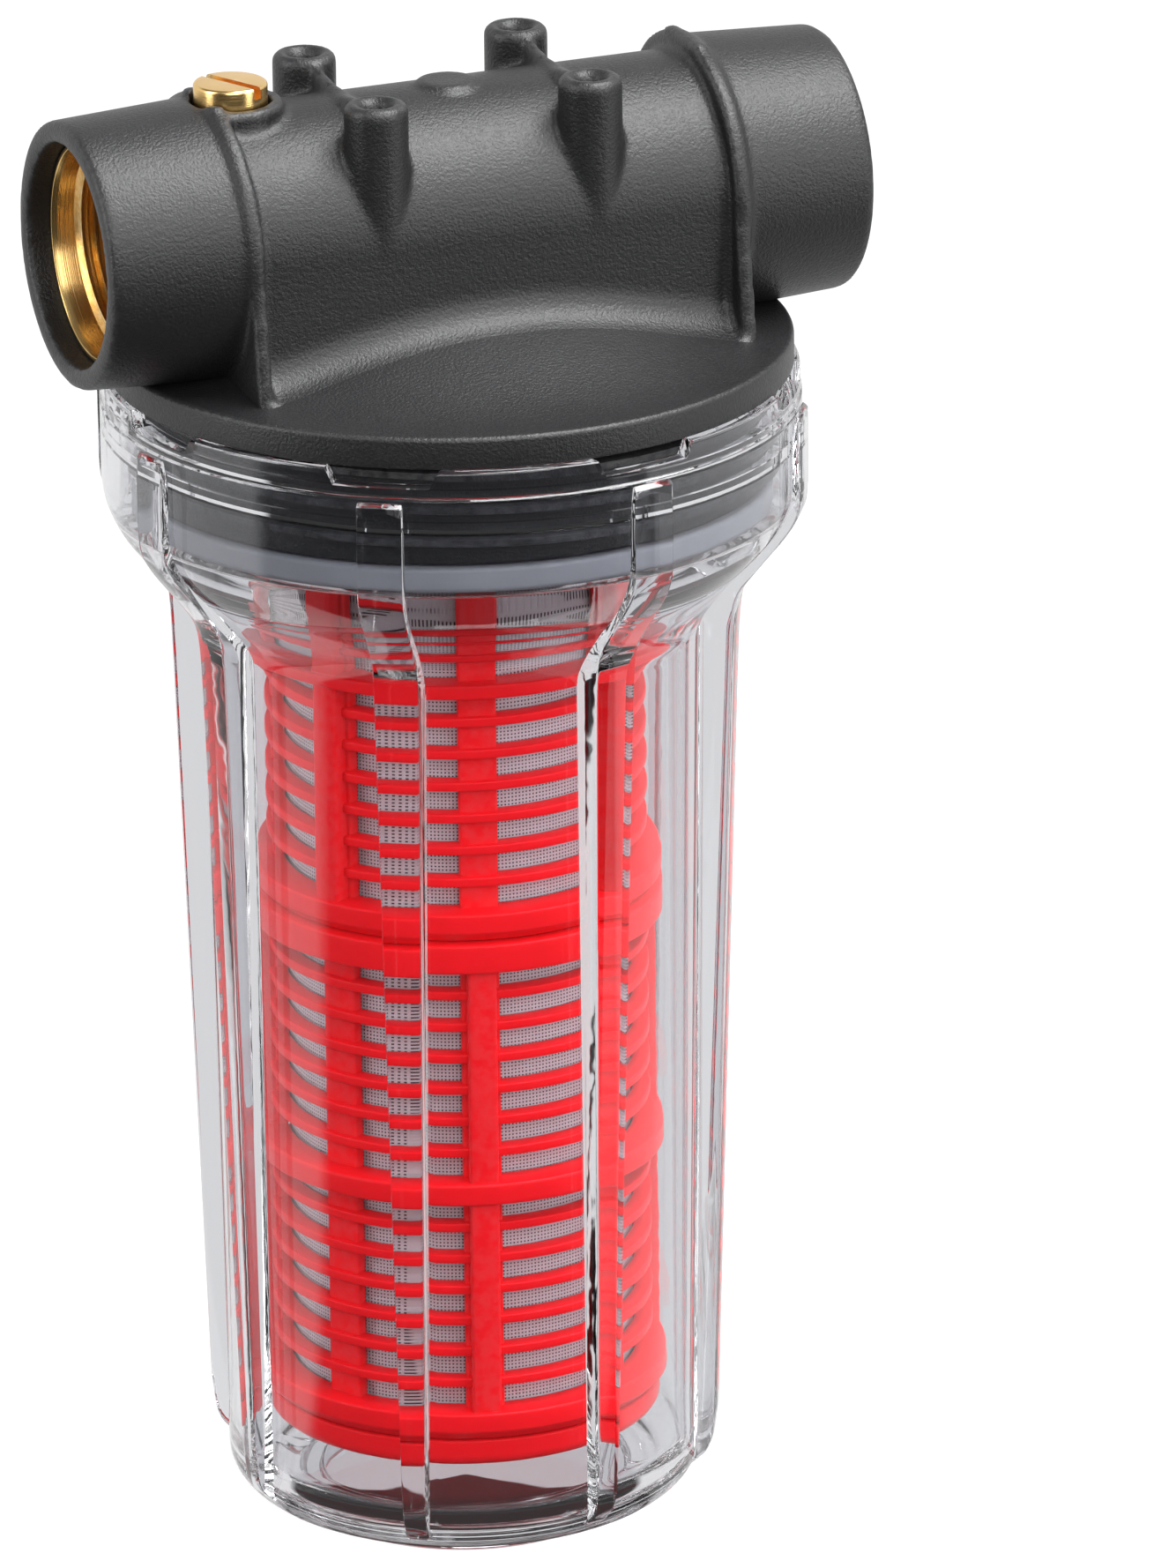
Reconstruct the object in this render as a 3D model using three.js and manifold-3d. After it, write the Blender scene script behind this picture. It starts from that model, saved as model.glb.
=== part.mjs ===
// In-line water filter: a black head with two threaded ports and a vent screw, a clear bowl that screws
// onto the head's neck, and a washable two-part mesh cartridge inside it.
// Millimetres, +Z up, origin at the centre of the bowl's foot ring, +X along the pipe to the outlet port.
import * as THREE from 'three'
import { mergeVertices } from 'three/addons/utils/BufferGeometryUtils.js'
import Module from 'manifold-3d'

const wasm = await Module()
wasm.setup()

// ---- Driving dimensions ----
const fitGap = 0.3            // between pieces that touch
const overlap = 0.6           // how far a joined feature reaches into the body that carries it
const roundSteps = 48         // facets around the large turned parts
const pipeSteps = 24          // facets around the pipe and its inserts
const fineSteps = 16          // facets around small turned parts
const threadSteps = 24        // facets in one turn of a thread
const cutReach = 1            // how far a cut runs past the surface it opens

const bowl = {
  height: 199.3,              // foot to rim
  wall: 3,
  bodyTopRadius: 41.5,
  bodyFootRadius: 39.6,
  cornerRadius: 11,
  footRadius: 27.5,
  footWall: 3,
  footHeight: 4,
  collarRadius: 57.3,
  collarWall: 3.1,
  collarHeight: 18.3,         // straight collar below the rim
  bodyEndDrop: 41.3,          // rim down to where the body meets the shoulder
  bendDrop: 1.8,              // the inside bends this far below the outside
  ledgeWidth: 6.7,            // seat of the seal
  finCount: 8,
  finStart: 11.5,             // degrees from the pipe axis
  finProud: 5.2,
  finTopWidth: 7.5,
  finFootWidth: 3.7,
  ribProud: 1.3,
  ribDrop: 4.8,               // rim down to the top of the collar ribs
  finFootInset: 0.3,          // how far the fin reaches into the foot ring
  notchWidth: 18,
  notchDepth: 2.7,
  notchReach: 8,              // the cut's own length across the rim
}
// The shoulder between body and collar: share of the way out, share of the way up
const shoulderOutside = [[0, 0], [0.16, 0.157], [0.45, 0.391], [0.7, 0.574], [0.886, 0.696], [0.968, 0.883], [1, 1]]
const shoulderInside = [[1, 0.65], [0.65, 0.43], [0.15, 0.12]]
const finShoulder = [[0.4, 0.174], [0.601, 0.4], [0.937, 0.696]]
// The fin's foot: out from the body's foot, up from the foot ring
const finFoot = [[-4.3, 0.6], [0.2, 4.1], [2.5, 7], [3.6, 15]]
const neck = {
  height: 17.1,
  wall: 3,
  threadRadialGap: 0.7,       // thread crest to the other part's wall
  threadDepth: 2,
  threadPitch: 5.4,
  threadTurns: 2.5,
  bowlThreadTurns: 1.5,
  ridgeWidth: 2.6,
  ridgeCrest: 1.2,
}
const seal = { height: 3.9, overhang: 0.8, inset: 0.3 }   // against the neck's end: wider, and narrower inside
const disc = { overhang: 1.3, thickness: 5.2, edgeRadius: 1, domeRise: 9, wall: 3.6, ceiling: 0.8 }
// The dome over the disc: share of the disc's radius, share of the rise
const domeOutside = [[0.82, 0.08], [0.62, 0.45], [0.39, 0.85], [0, 1]]
const pipe = {
  sink: 1.8,                  // disc top down to the ports' underside
  bodyStep: 2.2,              // how much slimmer the middle is than the ports
  portWall: 3.45,             // round the insert, at the port's face
  portTaper: 1.25,            // how much wider the port is at the rib
  portEdge: 0.6,
  span: 132.5,                // face to face
  bore: 14.5,
  ribOffset: 42,
  ribThickness: 2.5,
  ribProud: 0.8,
  ribLandWidth: 13,
  ribSpread: 3.8,             // how much wider the rib's foot stands than the pipe
}
const insert = {
  depth: 4,                   // port face to the brass
  length: 18,
  outerRadius: 18,
  waist: 0.8,
  mouthRadius: 17,
  threadMajor: 16.62,         // G1 pipe thread
  threadMinor: 15.15,
  threadPitch: 2.309,
  threadInset: 0.5,           // inner end to the first groove
  plainLength: 1,             // at least, between thread and mouth
}
const boss = {
  radius: 5.2,
  spacingX: 37.1,
  spacingY: 31.4,
  proud: 3.2,                 // over the pipe's top
  holeRadius: 2.1,
  holeDepth: 12,
  mouthRadius: 3.35,
  edgeRadius: 1.2,
  webThickness: 2,
  webDip: 0.4,                // lowest point of the web over the pipe
}
const gate = { radius: 4.8, proud: 0.6 }
const vent = {
  offset: 37.4,               // inlet side of the head's centre
  bossRadius: 8.6,
  bossProud: 1.8,             // over the pipe's top
  tabWidth: 7.8,
  tabDepth: 4,
  tabDrop: 1.2,
  recessRadius: 6.6,
  recessDepth: 4,
  headRadius: 6,
  headHeight: 5.2,
  headEdge: 0.5,
  slotWidth: 1.5,
  slotDepth: 1.9,
  slotTurn: -64,              // degrees
  shankRadius: 3.85,
  shankLength: 6.6,
  shankEdge: 0.8,
  sealSection: 1.2,
  sealInset: 0.4,             // behind the screw head's edge
}
// The head's socket for the cartridge neck, and how much wider its duct is than the cartridge's bore
const socket = { wall: 2.7, ductStep: 0.6 }
const inletDuct = { radius: 9, gap: 1 }       // gap to the socket
const cartridge = {
  topGap: 0.4,                // below the rim plane
  capLift: 18,                // bowl's foot to the cartridge's cap
  capHeight: 4.8,
  capRadius: 33,
  capEdge: 1.5,
  capRim: 2.2,
  capFloor: 2.4,
  capBoreStep: 1,             // how much wider the cap's bore is than the necks'
  frameRadius: 29.2,          // inside the bars
  barRadius: 31,
  finRadius: 32,
  bandRadius: 34.2,
  bandHeight: 5,
  midBandHeight: 3.8,
  plate: 2.4,
  windowRows: 7,              // in each half of a module
  finHeight: 1.6,
  barCount: 8,
  outerBarCount: 4,
  outerBarRadius: 33.4,
  outerBarTurn: 29.5,         // degrees, upper module; the lower one is turned by half a bay
  boreRadius: 21.3,
  boreSleeve: 2.3,
  boreSleeveHeight: 9.4,
  neckGap: 0.7,
  neckHeight: 8,
  neckWall: 2,                // behind the seal's groove
  neckEdge: 0.5,
  grooveDepth: 2.2,
  grooveHeight: 3.1,
  grooveDrop: 2,              // neck top to the groove
  meshThickness: 0.6,
  steps: 24,
}

// ---- Heights and radii that follow from them ----
const rimZ = bowl.height
const discBottomZ = rimZ + fitGap
const discTopZ = discBottomZ + disc.thickness
const neckEndZ = discBottomZ - neck.height
const ledgeZ = neckEndZ - seal.height - 2 * fitGap
const portFaceRadius = insert.outerRadius + fitGap + pipe.portWall
const portRadius = portFaceRadius + pipe.portTaper
const pipeRadius = portRadius - pipe.bodyStep
const pipeZ = discTopZ + portRadius - pipe.sink
const pipeTopZ = pipeZ + pipeRadius
const bossTopZ = pipeTopZ + boss.proud
const ventBossZ = pipeTopZ + vent.bossProud
const ventFloorZ = ventBossZ - vent.recessDepth
const collarInner = bowl.collarRadius - bowl.collarWall
const neckCrest = collarInner - neck.threadRadialGap
const neckRoot = neckCrest - neck.threadDepth
const bowlCrest = neckRoot + neck.threadRadialGap + fitGap
const neckInner = neckRoot - neck.wall
const discRadius = bowl.collarRadius - disc.overhang
const bodyEndZ = rimZ - bowl.bodyEndDrop
const collarFootZ = rimZ - bowl.collarHeight
const shoulderRadius = collarInner - bowl.ledgeWidth
const moduleBottomZ = cartridge.capLift + cartridge.capHeight + fitGap
const moduleTopZ = rimZ - cartridge.topGap
const moduleHeight = (moduleTopZ - moduleBottomZ - fitGap) / 2
const upperModuleZ = moduleBottomZ + moduleHeight + fitGap
const cartridgeNeckRadius = cartridge.boreRadius - cartridge.neckGap
const grooveRadius = cartridgeNeckRadius - cartridge.grooveDepth
const neckBore = grooveRadius - cartridge.neckWall
const socketOuter = cartridge.boreRadius + socket.wall
const outletDuctRadius = neckBore + socket.ductStep
const inletDuctOffset = socketOuter + inletDuct.gap + inletDuct.radius

// ---- Helpers ----
const degrees = THREE.MathUtils.degToRad
const point = (x, y) => new THREE.Vector2(x, y)

function arc(centreX, centreY, radius, fromDegrees, toDegrees, steps = 4) {
  const points = []
  for (let i = 0; i <= steps; i++) {
    const angle = degrees(fromDegrees + (toDegrees - fromDegrees) * i / steps)
    points.push(point(centreX + radius * Math.cos(angle), centreY + radius * Math.sin(angle)))
  }
  return points
}

// A closed mesh becomes a manifold solid; triangles that collapse on the axis are dropped.
function solidOf(geometry) {
  const bare = geometry.clone()
  bare.deleteAttribute('normal')
  bare.deleteAttribute('uv')
  const merged = mergeVertices(bare, 1e-4)
  const triangles = []
  for (let i = 0; i < merged.index.count; i += 3) {
    const [a, b, c] = [merged.index.getX(i), merged.index.getX(i + 1), merged.index.getX(i + 2)]
    if (a !== b && b !== c && c !== a) triangles.push(a, b, c)
  }
  return new wasm.Manifold(new wasm.Mesh({
    numProp: 3,
    vertProperties: new Float32Array(merged.attributes.position.array),
    triVerts: new Uint32Array(triangles),
  }))
}

const joined = (solids) => solids.reduce((whole, next) => whole.add(next))
const cutFrom = (body, solids) => solids.reduce((whole, next) => whole.subtract(next), body)

// Turns a closed outline of (radius, height) points about +Z.
function revolved(outline, steps = roundSteps) {
  const anticlockwise = THREE.ShapeUtils.area(outline) > 0
  const ordered = anticlockwise ? [...outline] : [...outline].reverse()
  const geometry = new THREE.LatheGeometry([...ordered, ordered[0].clone()], steps)
  geometry.rotateX(Math.PI / 2)
  return solidOf(geometry)
}

function tube(outer, inner, bottom, top, steps = roundSteps) {
  return revolved([point(inner, bottom), point(outer, bottom), point(outer, top), point(inner, top)], steps)
}

const rod = (radius, bottom, top, steps = roundSteps) => tube(radius, 0, bottom, top, steps)

function alongPipe(solid) {
  return solid.rotate([0, 90, 0]).translate([0, 0, pipeZ])
}

function block(sizeX, sizeY, bottom, top) {
  return solidOf(new THREE.BoxGeometry(sizeX, sizeY, top - bottom)).translate([0, 0, (top + bottom) / 2])
}

// An outline of (y, z) points made a plate of this thickness at this x.
function plateAcross(outline, x, thickness) {
  const geometry = new THREE.ExtrudeGeometry(new THREE.Shape(outline), { depth: thickness, bevelEnabled: false })
  geometry.rotateX(Math.PI / 2)
  geometry.rotateZ(Math.PI / 2)
  geometry.translate(x - thickness / 2, 0, 0)
  return solidOf(geometry)
}

// A ridge that climbs round a cylinder as a right-hand thread.
function helicalRidge({ root, crest, width, crestWidth, pitch, turns, startZ }) {
  const steps = Math.round(turns * threadSteps)
  const geometry = new THREE.BoxGeometry(1, 1, 1, 1, steps, 1)
  const place = geometry.attributes.position
  for (let i = 0; i < place.count; i++) {
    const atCrest = (place.getX(i) > 0) === (crest > root)
    const radius = place.getX(i) > 0 ? Math.max(root, crest) : Math.min(root, crest)
    const turn = (place.getY(i) + 0.5) * turns
    const height = startZ + turn * pitch + place.getZ(i) * (atCrest ? crestWidth : width)
    place.setXYZ(i, radius * Math.cos(turn * 2 * Math.PI), radius * Math.sin(turn * 2 * Math.PI), height)
  }
  return solidOf(geometry)
}

function around(count, startDegrees, make) {
  return Array.from({ length: count }, (_, i) => make(i).rotate([0, 0, startDegrees + i * 360 / count]))
}

const finish = {
  blackPlastic: { color: 0x17181a, roughness: 0.55, metalness: 0 },
  brass: { color: 0xc79a4b, roughness: 0.3, metalness: 1 },
  clearPlastic: { color: 0xdfe3f2, roughness: 0.08, metalness: 0, transparent: true, opacity: 0.35 },
  redPlastic: { color: 0xc8202a, roughness: 0.4, metalness: 0 },
  wireMesh: { color: 0xc9cdd2, roughness: 0.5, metalness: 0.4 },
  blackRubber: { color: 0x1b1b1b, roughness: 0.8, metalness: 0 },
  whiteRubber: { color: 0xe6e6e2, roughness: 0.5, metalness: 0 },
}

function piece(name, solid, look) {
  const mesh = solid.asOriginal().simplify(1e-3).getMesh()
  const corners = new Float32Array(mesh.numVert * 3)
  for (let i = 0; i < mesh.numVert; i++) {
    for (let k = 0; k < 3; k++) corners[i * 3 + k] = mesh.vertProperties[i * mesh.numProp + k]
  }
  const geometry = new THREE.BufferGeometry()
  geometry.setAttribute('position', new THREE.BufferAttribute(corners, 3))
  geometry.setIndex(new THREE.BufferAttribute(new Uint32Array(mesh.triVerts), 1))
  geometry.computeVertexNormals()
  const result = new THREE.Mesh(geometry, new THREE.MeshStandardMaterial(finish[look]))
  result.name = name
  return result
}

// ---- Head ----
// The insert's outside: two bands with a waist that the moulding grips.
function insertOutline(clearance) {
  const third = insert.length / 3
  const outer = insert.outerRadius + clearance
  const end = insert.length + clearance
  const waistShift = insert.waist
  return [
    point(outer, -clearance),
    point(outer, third + clearance),
    point(outer - waistShift, third + clearance + waistShift),
    point(outer - waistShift, 2 * third - clearance - waistShift),
    point(outer, 2 * third - clearance),
    point(outer, end),
  ]
}

const inserted = (solid) => solid.translate([0, 0, -pipe.span / 2 + insert.depth])

function insertPocket() {
  const end = insert.length + fitGap
  const ring = revolved([point(0, -fitGap), ...insertOutline(fitGap), point(0, end)], pipeSteps)
  return inserted(ring.add(rod(insert.outerRadius + fitGap, -insert.depth - cutReach, 0, pipeSteps)))
}

function headOutside() {
  const edge = disc.edgeRadius
  const shell = revolved([
    point(0, neckEndZ),
    point(neckRoot, neckEndZ),
    point(neckRoot, discBottomZ),
    point(discRadius, discBottomZ),
    ...arc(discRadius - edge, discTopZ - edge, edge, 0, 90, 3),
    ...domeOutside.map(([out, up]) => point(discRadius * out, discTopZ + disc.domeRise * up)),
  ])
  const portStart = pipe.ribOffset
  const port = alongPipe(revolved([
    point(0, -pipe.span / 2),
    point(portFaceRadius - pipe.portEdge, -pipe.span / 2),
    point(portFaceRadius, -pipe.span / 2 + pipe.portEdge),
    point(portRadius, -portStart),
    point(0, -portStart),
  ], pipeSteps))
  const middle = alongPipe(rod(pipeRadius, -portStart, portStart, pipeSteps))
  const skirt = block(2 * portStart, 2 * pipeRadius, discTopZ - overlap, pipeZ)
  return joined([shell, middle, skirt, port, port.rotate([0, 0, 180]), ...ribs(), ...bosses(), ventBoss(),
    rod(gate.radius, pipeZ, pipeTopZ + gate.proud, fineSteps)])
}

// A rib stands round the pipe where each port begins and runs down to the disc as a gusset.
function ribs() {
  const radius = portRadius + pipe.ribProud
  const land = pipe.ribLandWidth / 2
  const landTop = Math.sqrt(radius ** 2 - land ** 2) + pipe.ribProud
  const foot = portRadius + pipe.ribSpread
  const outline = [
    point(-foot, discTopZ - overlap),
    point(foot, discTopZ - overlap),
    ...arc(0, pipeZ, radius, 0, 90 - THREE.MathUtils.radToDeg(Math.asin(land / radius)), 8),
    point(land, pipeZ + landTop),
    point(-land, pipeZ + landTop),
    ...arc(0, pipeZ, radius, 90 + THREE.MathUtils.radToDeg(Math.asin(land / radius)), 180, 8),
  ]
  return [-1, 1].map((side) => plateAcross(outline, side * pipe.ribOffset, pipe.ribThickness))
}

function bosses() {
  const edge = boss.edgeRadius
  const post = revolved([
    point(0, pipeZ),
    point(boss.radius, pipeZ),
    ...arc(boss.radius - edge, bossTopZ - edge, edge, 0, 90, 3),
    point(0, bossTopZ),
  ], fineSteps)
  const reach = boss.spacingY / 2 - boss.radius + overlap
  const web = [
    point(-reach, pipeTopZ - boss.radius),
    point(reach, pipeTopZ - boss.radius),
    point(reach, bossTopZ - edge),
    point(0, pipeTopZ + boss.webDip),
    point(-reach, bossTopZ - edge),
  ]
  const solids = []
  for (const side of [-1, 1]) {
    solids.push(plateAcross(web, side * boss.spacingX / 2, boss.webThickness))
    for (const face of [-1, 1]) {
      solids.push(post.translate([side * boss.spacingX / 2, face * boss.spacingY / 2, 0]))
    }
  }
  return solids
}

function ventBoss() {
  const tab = block(vent.tabDepth, vent.tabWidth, pipeZ, ventBossZ - vent.tabDrop)
    .translate([-vent.offset - vent.bossRadius, 0, 0])
  return rod(vent.bossRadius, pipeZ, ventBossZ, fineSteps).translate([-vent.offset, 0, 0]).add(tab)
}

function bossHoles() {
  const flare = boss.mouthRadius - boss.holeRadius
  const hole = revolved([
    point(0, bossTopZ - boss.holeDepth),
    point(boss.holeRadius, bossTopZ - boss.holeDepth),
    point(boss.holeRadius, bossTopZ - flare),
    point(boss.mouthRadius + overlap, bossTopZ + overlap),
    point(0, bossTopZ + overlap),
  ], fineSteps)
  return [-1, 1].flatMap((side) => [-1, 1].map((face) =>
    hole.translate([side * boss.spacingX / 2, face * boss.spacingY / 2, 0])))
}

// Water enters by the inlet bore, drops through the duct into the bowl and leaves up the middle.
function headInside() {
  const socketTop = moduleTopZ + cartridge.neckHeight + fitGap
  const roof = (share) => discTopZ + disc.domeRise * share - disc.wall
  const [haunchOut, haunchUp] = domeOutside[1]
  const chamber = revolved([
    point(0, neckEndZ - overlap),
    point(neckInner, neckEndZ - overlap),
    point(neckInner, roof(0)),
    point(discRadius * haunchOut, roof(haunchUp)),
    point(socketOuter, roof(disc.ceiling)),
    point(0, roof(disc.ceiling)),
  ]).subtract(rod(socketOuter, moduleTopZ + 2 * fitGap, pipeZ, pipeSteps))
  const halfSpan = pipe.span / 2
  const portBore = (from, to) => alongPipe(rod(pipe.bore, from, to, pipeSteps))
  return [
    chamber,
    rod(cartridge.boreRadius, moduleTopZ, socketTop, pipeSteps),
    rod(outletDuctRadius, moduleTopZ, pipeZ, pipeSteps),
    rod(inletDuct.radius, roof(0) - overlap, pipeZ, fineSteps).translate([-inletDuctOffset, 0, 0]),
    portBore(-halfSpan + insert.depth, -inletDuctOffset + inletDuct.radius),
    portBore(0, halfSpan - insert.depth),
  ]
}

function makeHead() {
  const thread = helicalRidge({
    root: neckRoot - overlap,
    crest: neckCrest,
    width: neck.ridgeWidth,
    crestWidth: neck.ridgeCrest,
    pitch: neck.threadPitch,
    turns: neck.threadTurns,
    startZ: neckEndZ + neck.ridgeWidth,
  })
  const pocket = insertPocket()
  const ventHole = [
    rod(vent.recessRadius, ventFloorZ, bossTopZ, fineSteps),
    rod(vent.shankRadius + fitGap, pipeZ, ventFloorZ + overlap, fineSteps),
  ].map((hole) => hole.translate([-vent.offset, 0, 0]))
  return cutFrom(headOutside().add(thread), [
    ...headInside(),
    alongPipe(pocket),
    alongPipe(pocket).rotate([0, 0, 180]),
    ...ventHole,
    ...bossHoles(),
  ])
}

function makeInsert(side) {
  const mouthStep = insert.mouthRadius - insert.threadMinor
  const thread = []
  const turns = Math.floor((insert.length - mouthStep - insert.plainLength) / insert.threadPitch)
  for (let i = 0; i < turns; i++) {
    const z = insert.length - insert.threadInset - i * insert.threadPitch
    thread.push(point(insert.threadMinor, z), point(insert.threadMajor, z - insert.threadPitch / 2))
  }
  const lastZ = insert.length - insert.threadInset - turns * insert.threadPitch
  const body = inserted(revolved([
    point(insert.threadMinor, insert.length),
    ...thread,
    point(insert.threadMinor, lastZ),
    point(insert.threadMinor, mouthStep),
    point(insert.mouthRadius, 0),
    ...insertOutline(0),
  ], pipeSteps))
  return alongPipe(body).rotate([0, 0, side < 0 ? 0 : 180])
}

function makeVentScrew() {
  const seat = ventFloorZ + vent.sealSection + 2 * fitGap
  const top = seat + vent.headHeight
  const head = revolved([
    point(0, seat - vent.shankLength),
    point(vent.shankRadius - vent.shankEdge, seat - vent.shankLength),
    point(vent.shankRadius, seat - vent.shankLength + vent.shankEdge),
    point(vent.shankRadius, seat),
    point(vent.headRadius, seat),
    point(vent.headRadius, top - vent.headEdge),
    point(vent.headRadius - vent.headEdge, top),
    point(0, top),
  ], fineSteps)
  const slot = block(2 * (vent.headRadius + cutReach), vent.slotWidth, top - vent.slotDepth, top + cutReach)
  return head.subtract(slot.rotate([0, 0, vent.slotTurn])).translate([-vent.offset, 0, 0])
}

function makeVentSeal() {
  const bottom = ventFloorZ + fitGap
  return tube(vent.headRadius - vent.sealInset, vent.shankRadius + fitGap, bottom, bottom + vent.sealSection, fineSteps)
    .translate([-vent.offset, 0, 0])
}

// ---- Bowl ----
// Places on the shoulder, from the body's end to the collar's foot.
function shoulder(profile) {
  const reach = bowl.collarRadius - bowl.bodyTopRadius
  const rise = collarFootZ - bodyEndZ
  return profile.map(([out, up]) => point(bowl.bodyTopRadius + reach * out, bodyEndZ + rise * up))
}

// The outside from the foot ring's edge up to the rim, moved inwards by an inset.
function bowlSide(inset, topZ) {
  const corner = bowl.cornerRadius
  return [
    ...arc(bowl.bodyFootRadius - corner, bowl.footHeight + corner, corner - inset, -90, 0, 5),
    ...shoulder(shoulderOutside).map(({ x, y }) => point(x - inset, y)),
    point(bowl.collarRadius - inset, topZ),
  ]
}

function bowlShell() {
  const wall = bowl.wall
  const corner = bowl.cornerRadius
  const floorZ = bowl.footHeight + wall
  const bodyInner = bowl.bodyTopRadius - wall
  const inside = [
    point(collarInner, rimZ),
    point(collarInner, ledgeZ),
    point(shoulderRadius, ledgeZ),
    ...shoulderInside.map(([out, up]) =>
      point(bodyInner + (shoulderRadius - bodyInner) * out, bodyEndZ + (ledgeZ - bodyEndZ) * up)),
    point(bodyInner, bodyEndZ - bowl.bendDrop),
    ...arc(bowl.bodyFootRadius - corner, bowl.footHeight + corner, corner - wall, 0, -90, 5),
    point(0, floorZ),
  ]
  const outside = [
    point(0, bowl.footHeight),
    point(bowl.footRadius - bowl.footWall, bowl.footHeight),
    point(bowl.footRadius - bowl.footWall, 0),
    point(bowl.footRadius, 0),
    point(bowl.footRadius, bowl.footHeight),
    ...bowlSide(0, rimZ),
  ]
  return revolved([...outside, ...inside])
}

// A fin runs from the foot ring up the body and over the shoulder, and ends as a grip rib on the collar.
function bowlFin() {
  const foot = bowl.footHeight
  const half = bowl.wall / 2
  const footInner = bowl.footRadius - bowl.finFootInset
  const rib = bowl.collarRadius + bowl.ribProud
  const outer = [
    point(footInner, foot - half),
    point(bowl.footRadius + 2 * bowl.finFootInset, foot - half),
    ...finFoot.map(([out, up]) => point(bowl.bodyFootRadius + out, foot + up)),
    point(bowl.bodyTopRadius + bowl.finProud, bodyEndZ - 2 * bowl.finProud),
    ...shoulder(finShoulder),
    point(rib, collarFootZ - bowl.ribProud),
    point(rib, rimZ - bowl.ribDrop),
  ]
  const inner = bowlSide(half, rimZ - bowl.ribDrop).reverse()
  const shape = new THREE.Shape([...outer, ...inner, point(footInner, foot + half)])
  const geometry = new THREE.ExtrudeGeometry(shape, { depth: 1, bevelEnabled: false })
  geometry.translate(0, 0, -0.5)
  geometry.rotateX(Math.PI / 2)
  const place = geometry.attributes.position
  for (let i = 0; i < place.count; i++) {
    const share = THREE.MathUtils.clamp(place.getZ(i) / bodyEndZ, 0, 1)
    place.setY(i, place.getY(i) * THREE.MathUtils.lerp(bowl.finFootWidth, bowl.finTopWidth, share))
  }
  return solidOf(geometry)
}

function makeBowl() {
  const fin = bowlFin()
  const notch = block(bowl.notchReach, bowl.notchWidth, rimZ - bowl.notchDepth, rimZ + overlap)
    .translate([bowl.collarRadius, 0, 0])
  const thread = helicalRidge({
    root: collarInner + overlap,
    crest: bowlCrest,
    width: neck.ridgeWidth,
    crestWidth: neck.ridgeCrest,
    pitch: neck.threadPitch,
    turns: neck.bowlThreadTurns,
    startZ: neckEndZ + neck.ridgeWidth + neck.threadPitch / 2,
  })
  const whole = joined([bowlShell(), thread, ...around(bowl.finCount, bowl.finStart, () => fin)])
  return cutFrom(whole, around(bowl.finCount, bowl.finStart, () => notch))
}

function makeBowlSeal() {
  const bottom = ledgeZ + fitGap
  return tube(neckRoot + seal.overhang, neckInner + seal.inset, bottom, bottom + seal.height)
}

// ---- Cartridge ----
function cartridgeNeck(topZ) {
  const neckTop = topZ + cartridge.neckHeight
  const grooveTop = neckTop - cartridge.grooveDrop
  const grooveBottom = grooveTop - cartridge.grooveHeight
  return revolved([
    point(neckBore, topZ - cartridge.plate),
    point(cartridgeNeckRadius, topZ - cartridge.plate),
    point(cartridgeNeckRadius, grooveBottom),
    point(grooveRadius, grooveBottom),
    point(grooveRadius, grooveTop),
    point(cartridgeNeckRadius, grooveTop),
    point(cartridgeNeckRadius - cartridge.neckEdge, neckTop),
    point(neckBore, neckTop),
  ], cartridge.steps)
}

// A bar as wide as one facet of the frame's rings, from the first facet's start to its end.
function frameBar(inner, outer, bottomZ, topZ) {
  const facet = 2 * Math.PI / cartridge.steps
  const corner = (radius, angle) => point(radius * Math.cos(angle), radius * Math.sin(angle))
  const outline = [corner(inner, 0), corner(outer, 0), corner(outer, facet), corner(inner, facet)]
  const depth = topZ - bottomZ - 2 * cartridge.plate
  const geometry = new THREE.ExtrudeGeometry(new THREE.Shape(outline), { depth, bevelEnabled: false })
  return solidOf(geometry).translate([0, 0, bottomZ + cartridge.plate])
}

function makeFrame(bottomZ, turn) {
  const c = cartridge
  const topZ = bottomZ + moduleHeight
  const middleZ = bottomZ + moduleHeight / 2
  const half = c.midBandHeight / 2
  const ring = (outer, inner, from, to) => tube(outer, inner, from, to, c.steps)
  const solids = [
    ring(c.bandRadius, c.frameRadius, bottomZ, bottomZ + c.bandHeight),
    ring(c.bandRadius, c.frameRadius, middleZ - half, middleZ + half),
    ring(c.bandRadius, c.frameRadius, topZ - c.bandHeight, topZ),
    ring(c.frameRadius + overlap, c.boreRadius, bottomZ, bottomZ + c.plate),
    ring(c.frameRadius + overlap, neckBore, topZ - c.plate, topZ),
    ring(c.boreRadius + c.boreSleeve, c.boreRadius, bottomZ, bottomZ + c.boreSleeveHeight),
    cartridgeNeck(topZ),
  ]
  const bayStarts = [bottomZ + c.bandHeight, middleZ + half]
  const bay = (moduleHeight - 2 * c.bandHeight - c.midBandHeight) / 2
  for (const start of bayStarts) {
    for (let row = 1; row < c.windowRows; row++) {
      const z = start + row * (bay + c.finHeight) / c.windowRows - c.finHeight
      solids.push(ring(c.finRadius, c.frameRadius, z, z + c.finHeight))
    }
  }
  solids.push(...around(c.barCount, 0, () => frameBar(c.frameRadius, c.barRadius, bottomZ, topZ)))
  solids.push(...around(c.outerBarCount, 0, () => frameBar(c.barRadius - overlap, c.outerBarRadius, bottomZ, topZ)))
  return wasm.Manifold.union(solids).rotate([0, 0, turn])
}

function makeMeshSleeve(bottomZ) {
  const outer = cartridge.frameRadius * Math.cos(Math.PI / cartridge.steps) - fitGap
  const from = bottomZ + cartridge.plate + fitGap
  const to = bottomZ + moduleHeight - cartridge.plate - fitGap
  return tube(outer, outer - cartridge.meshThickness, from, to, cartridge.steps)
}

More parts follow.
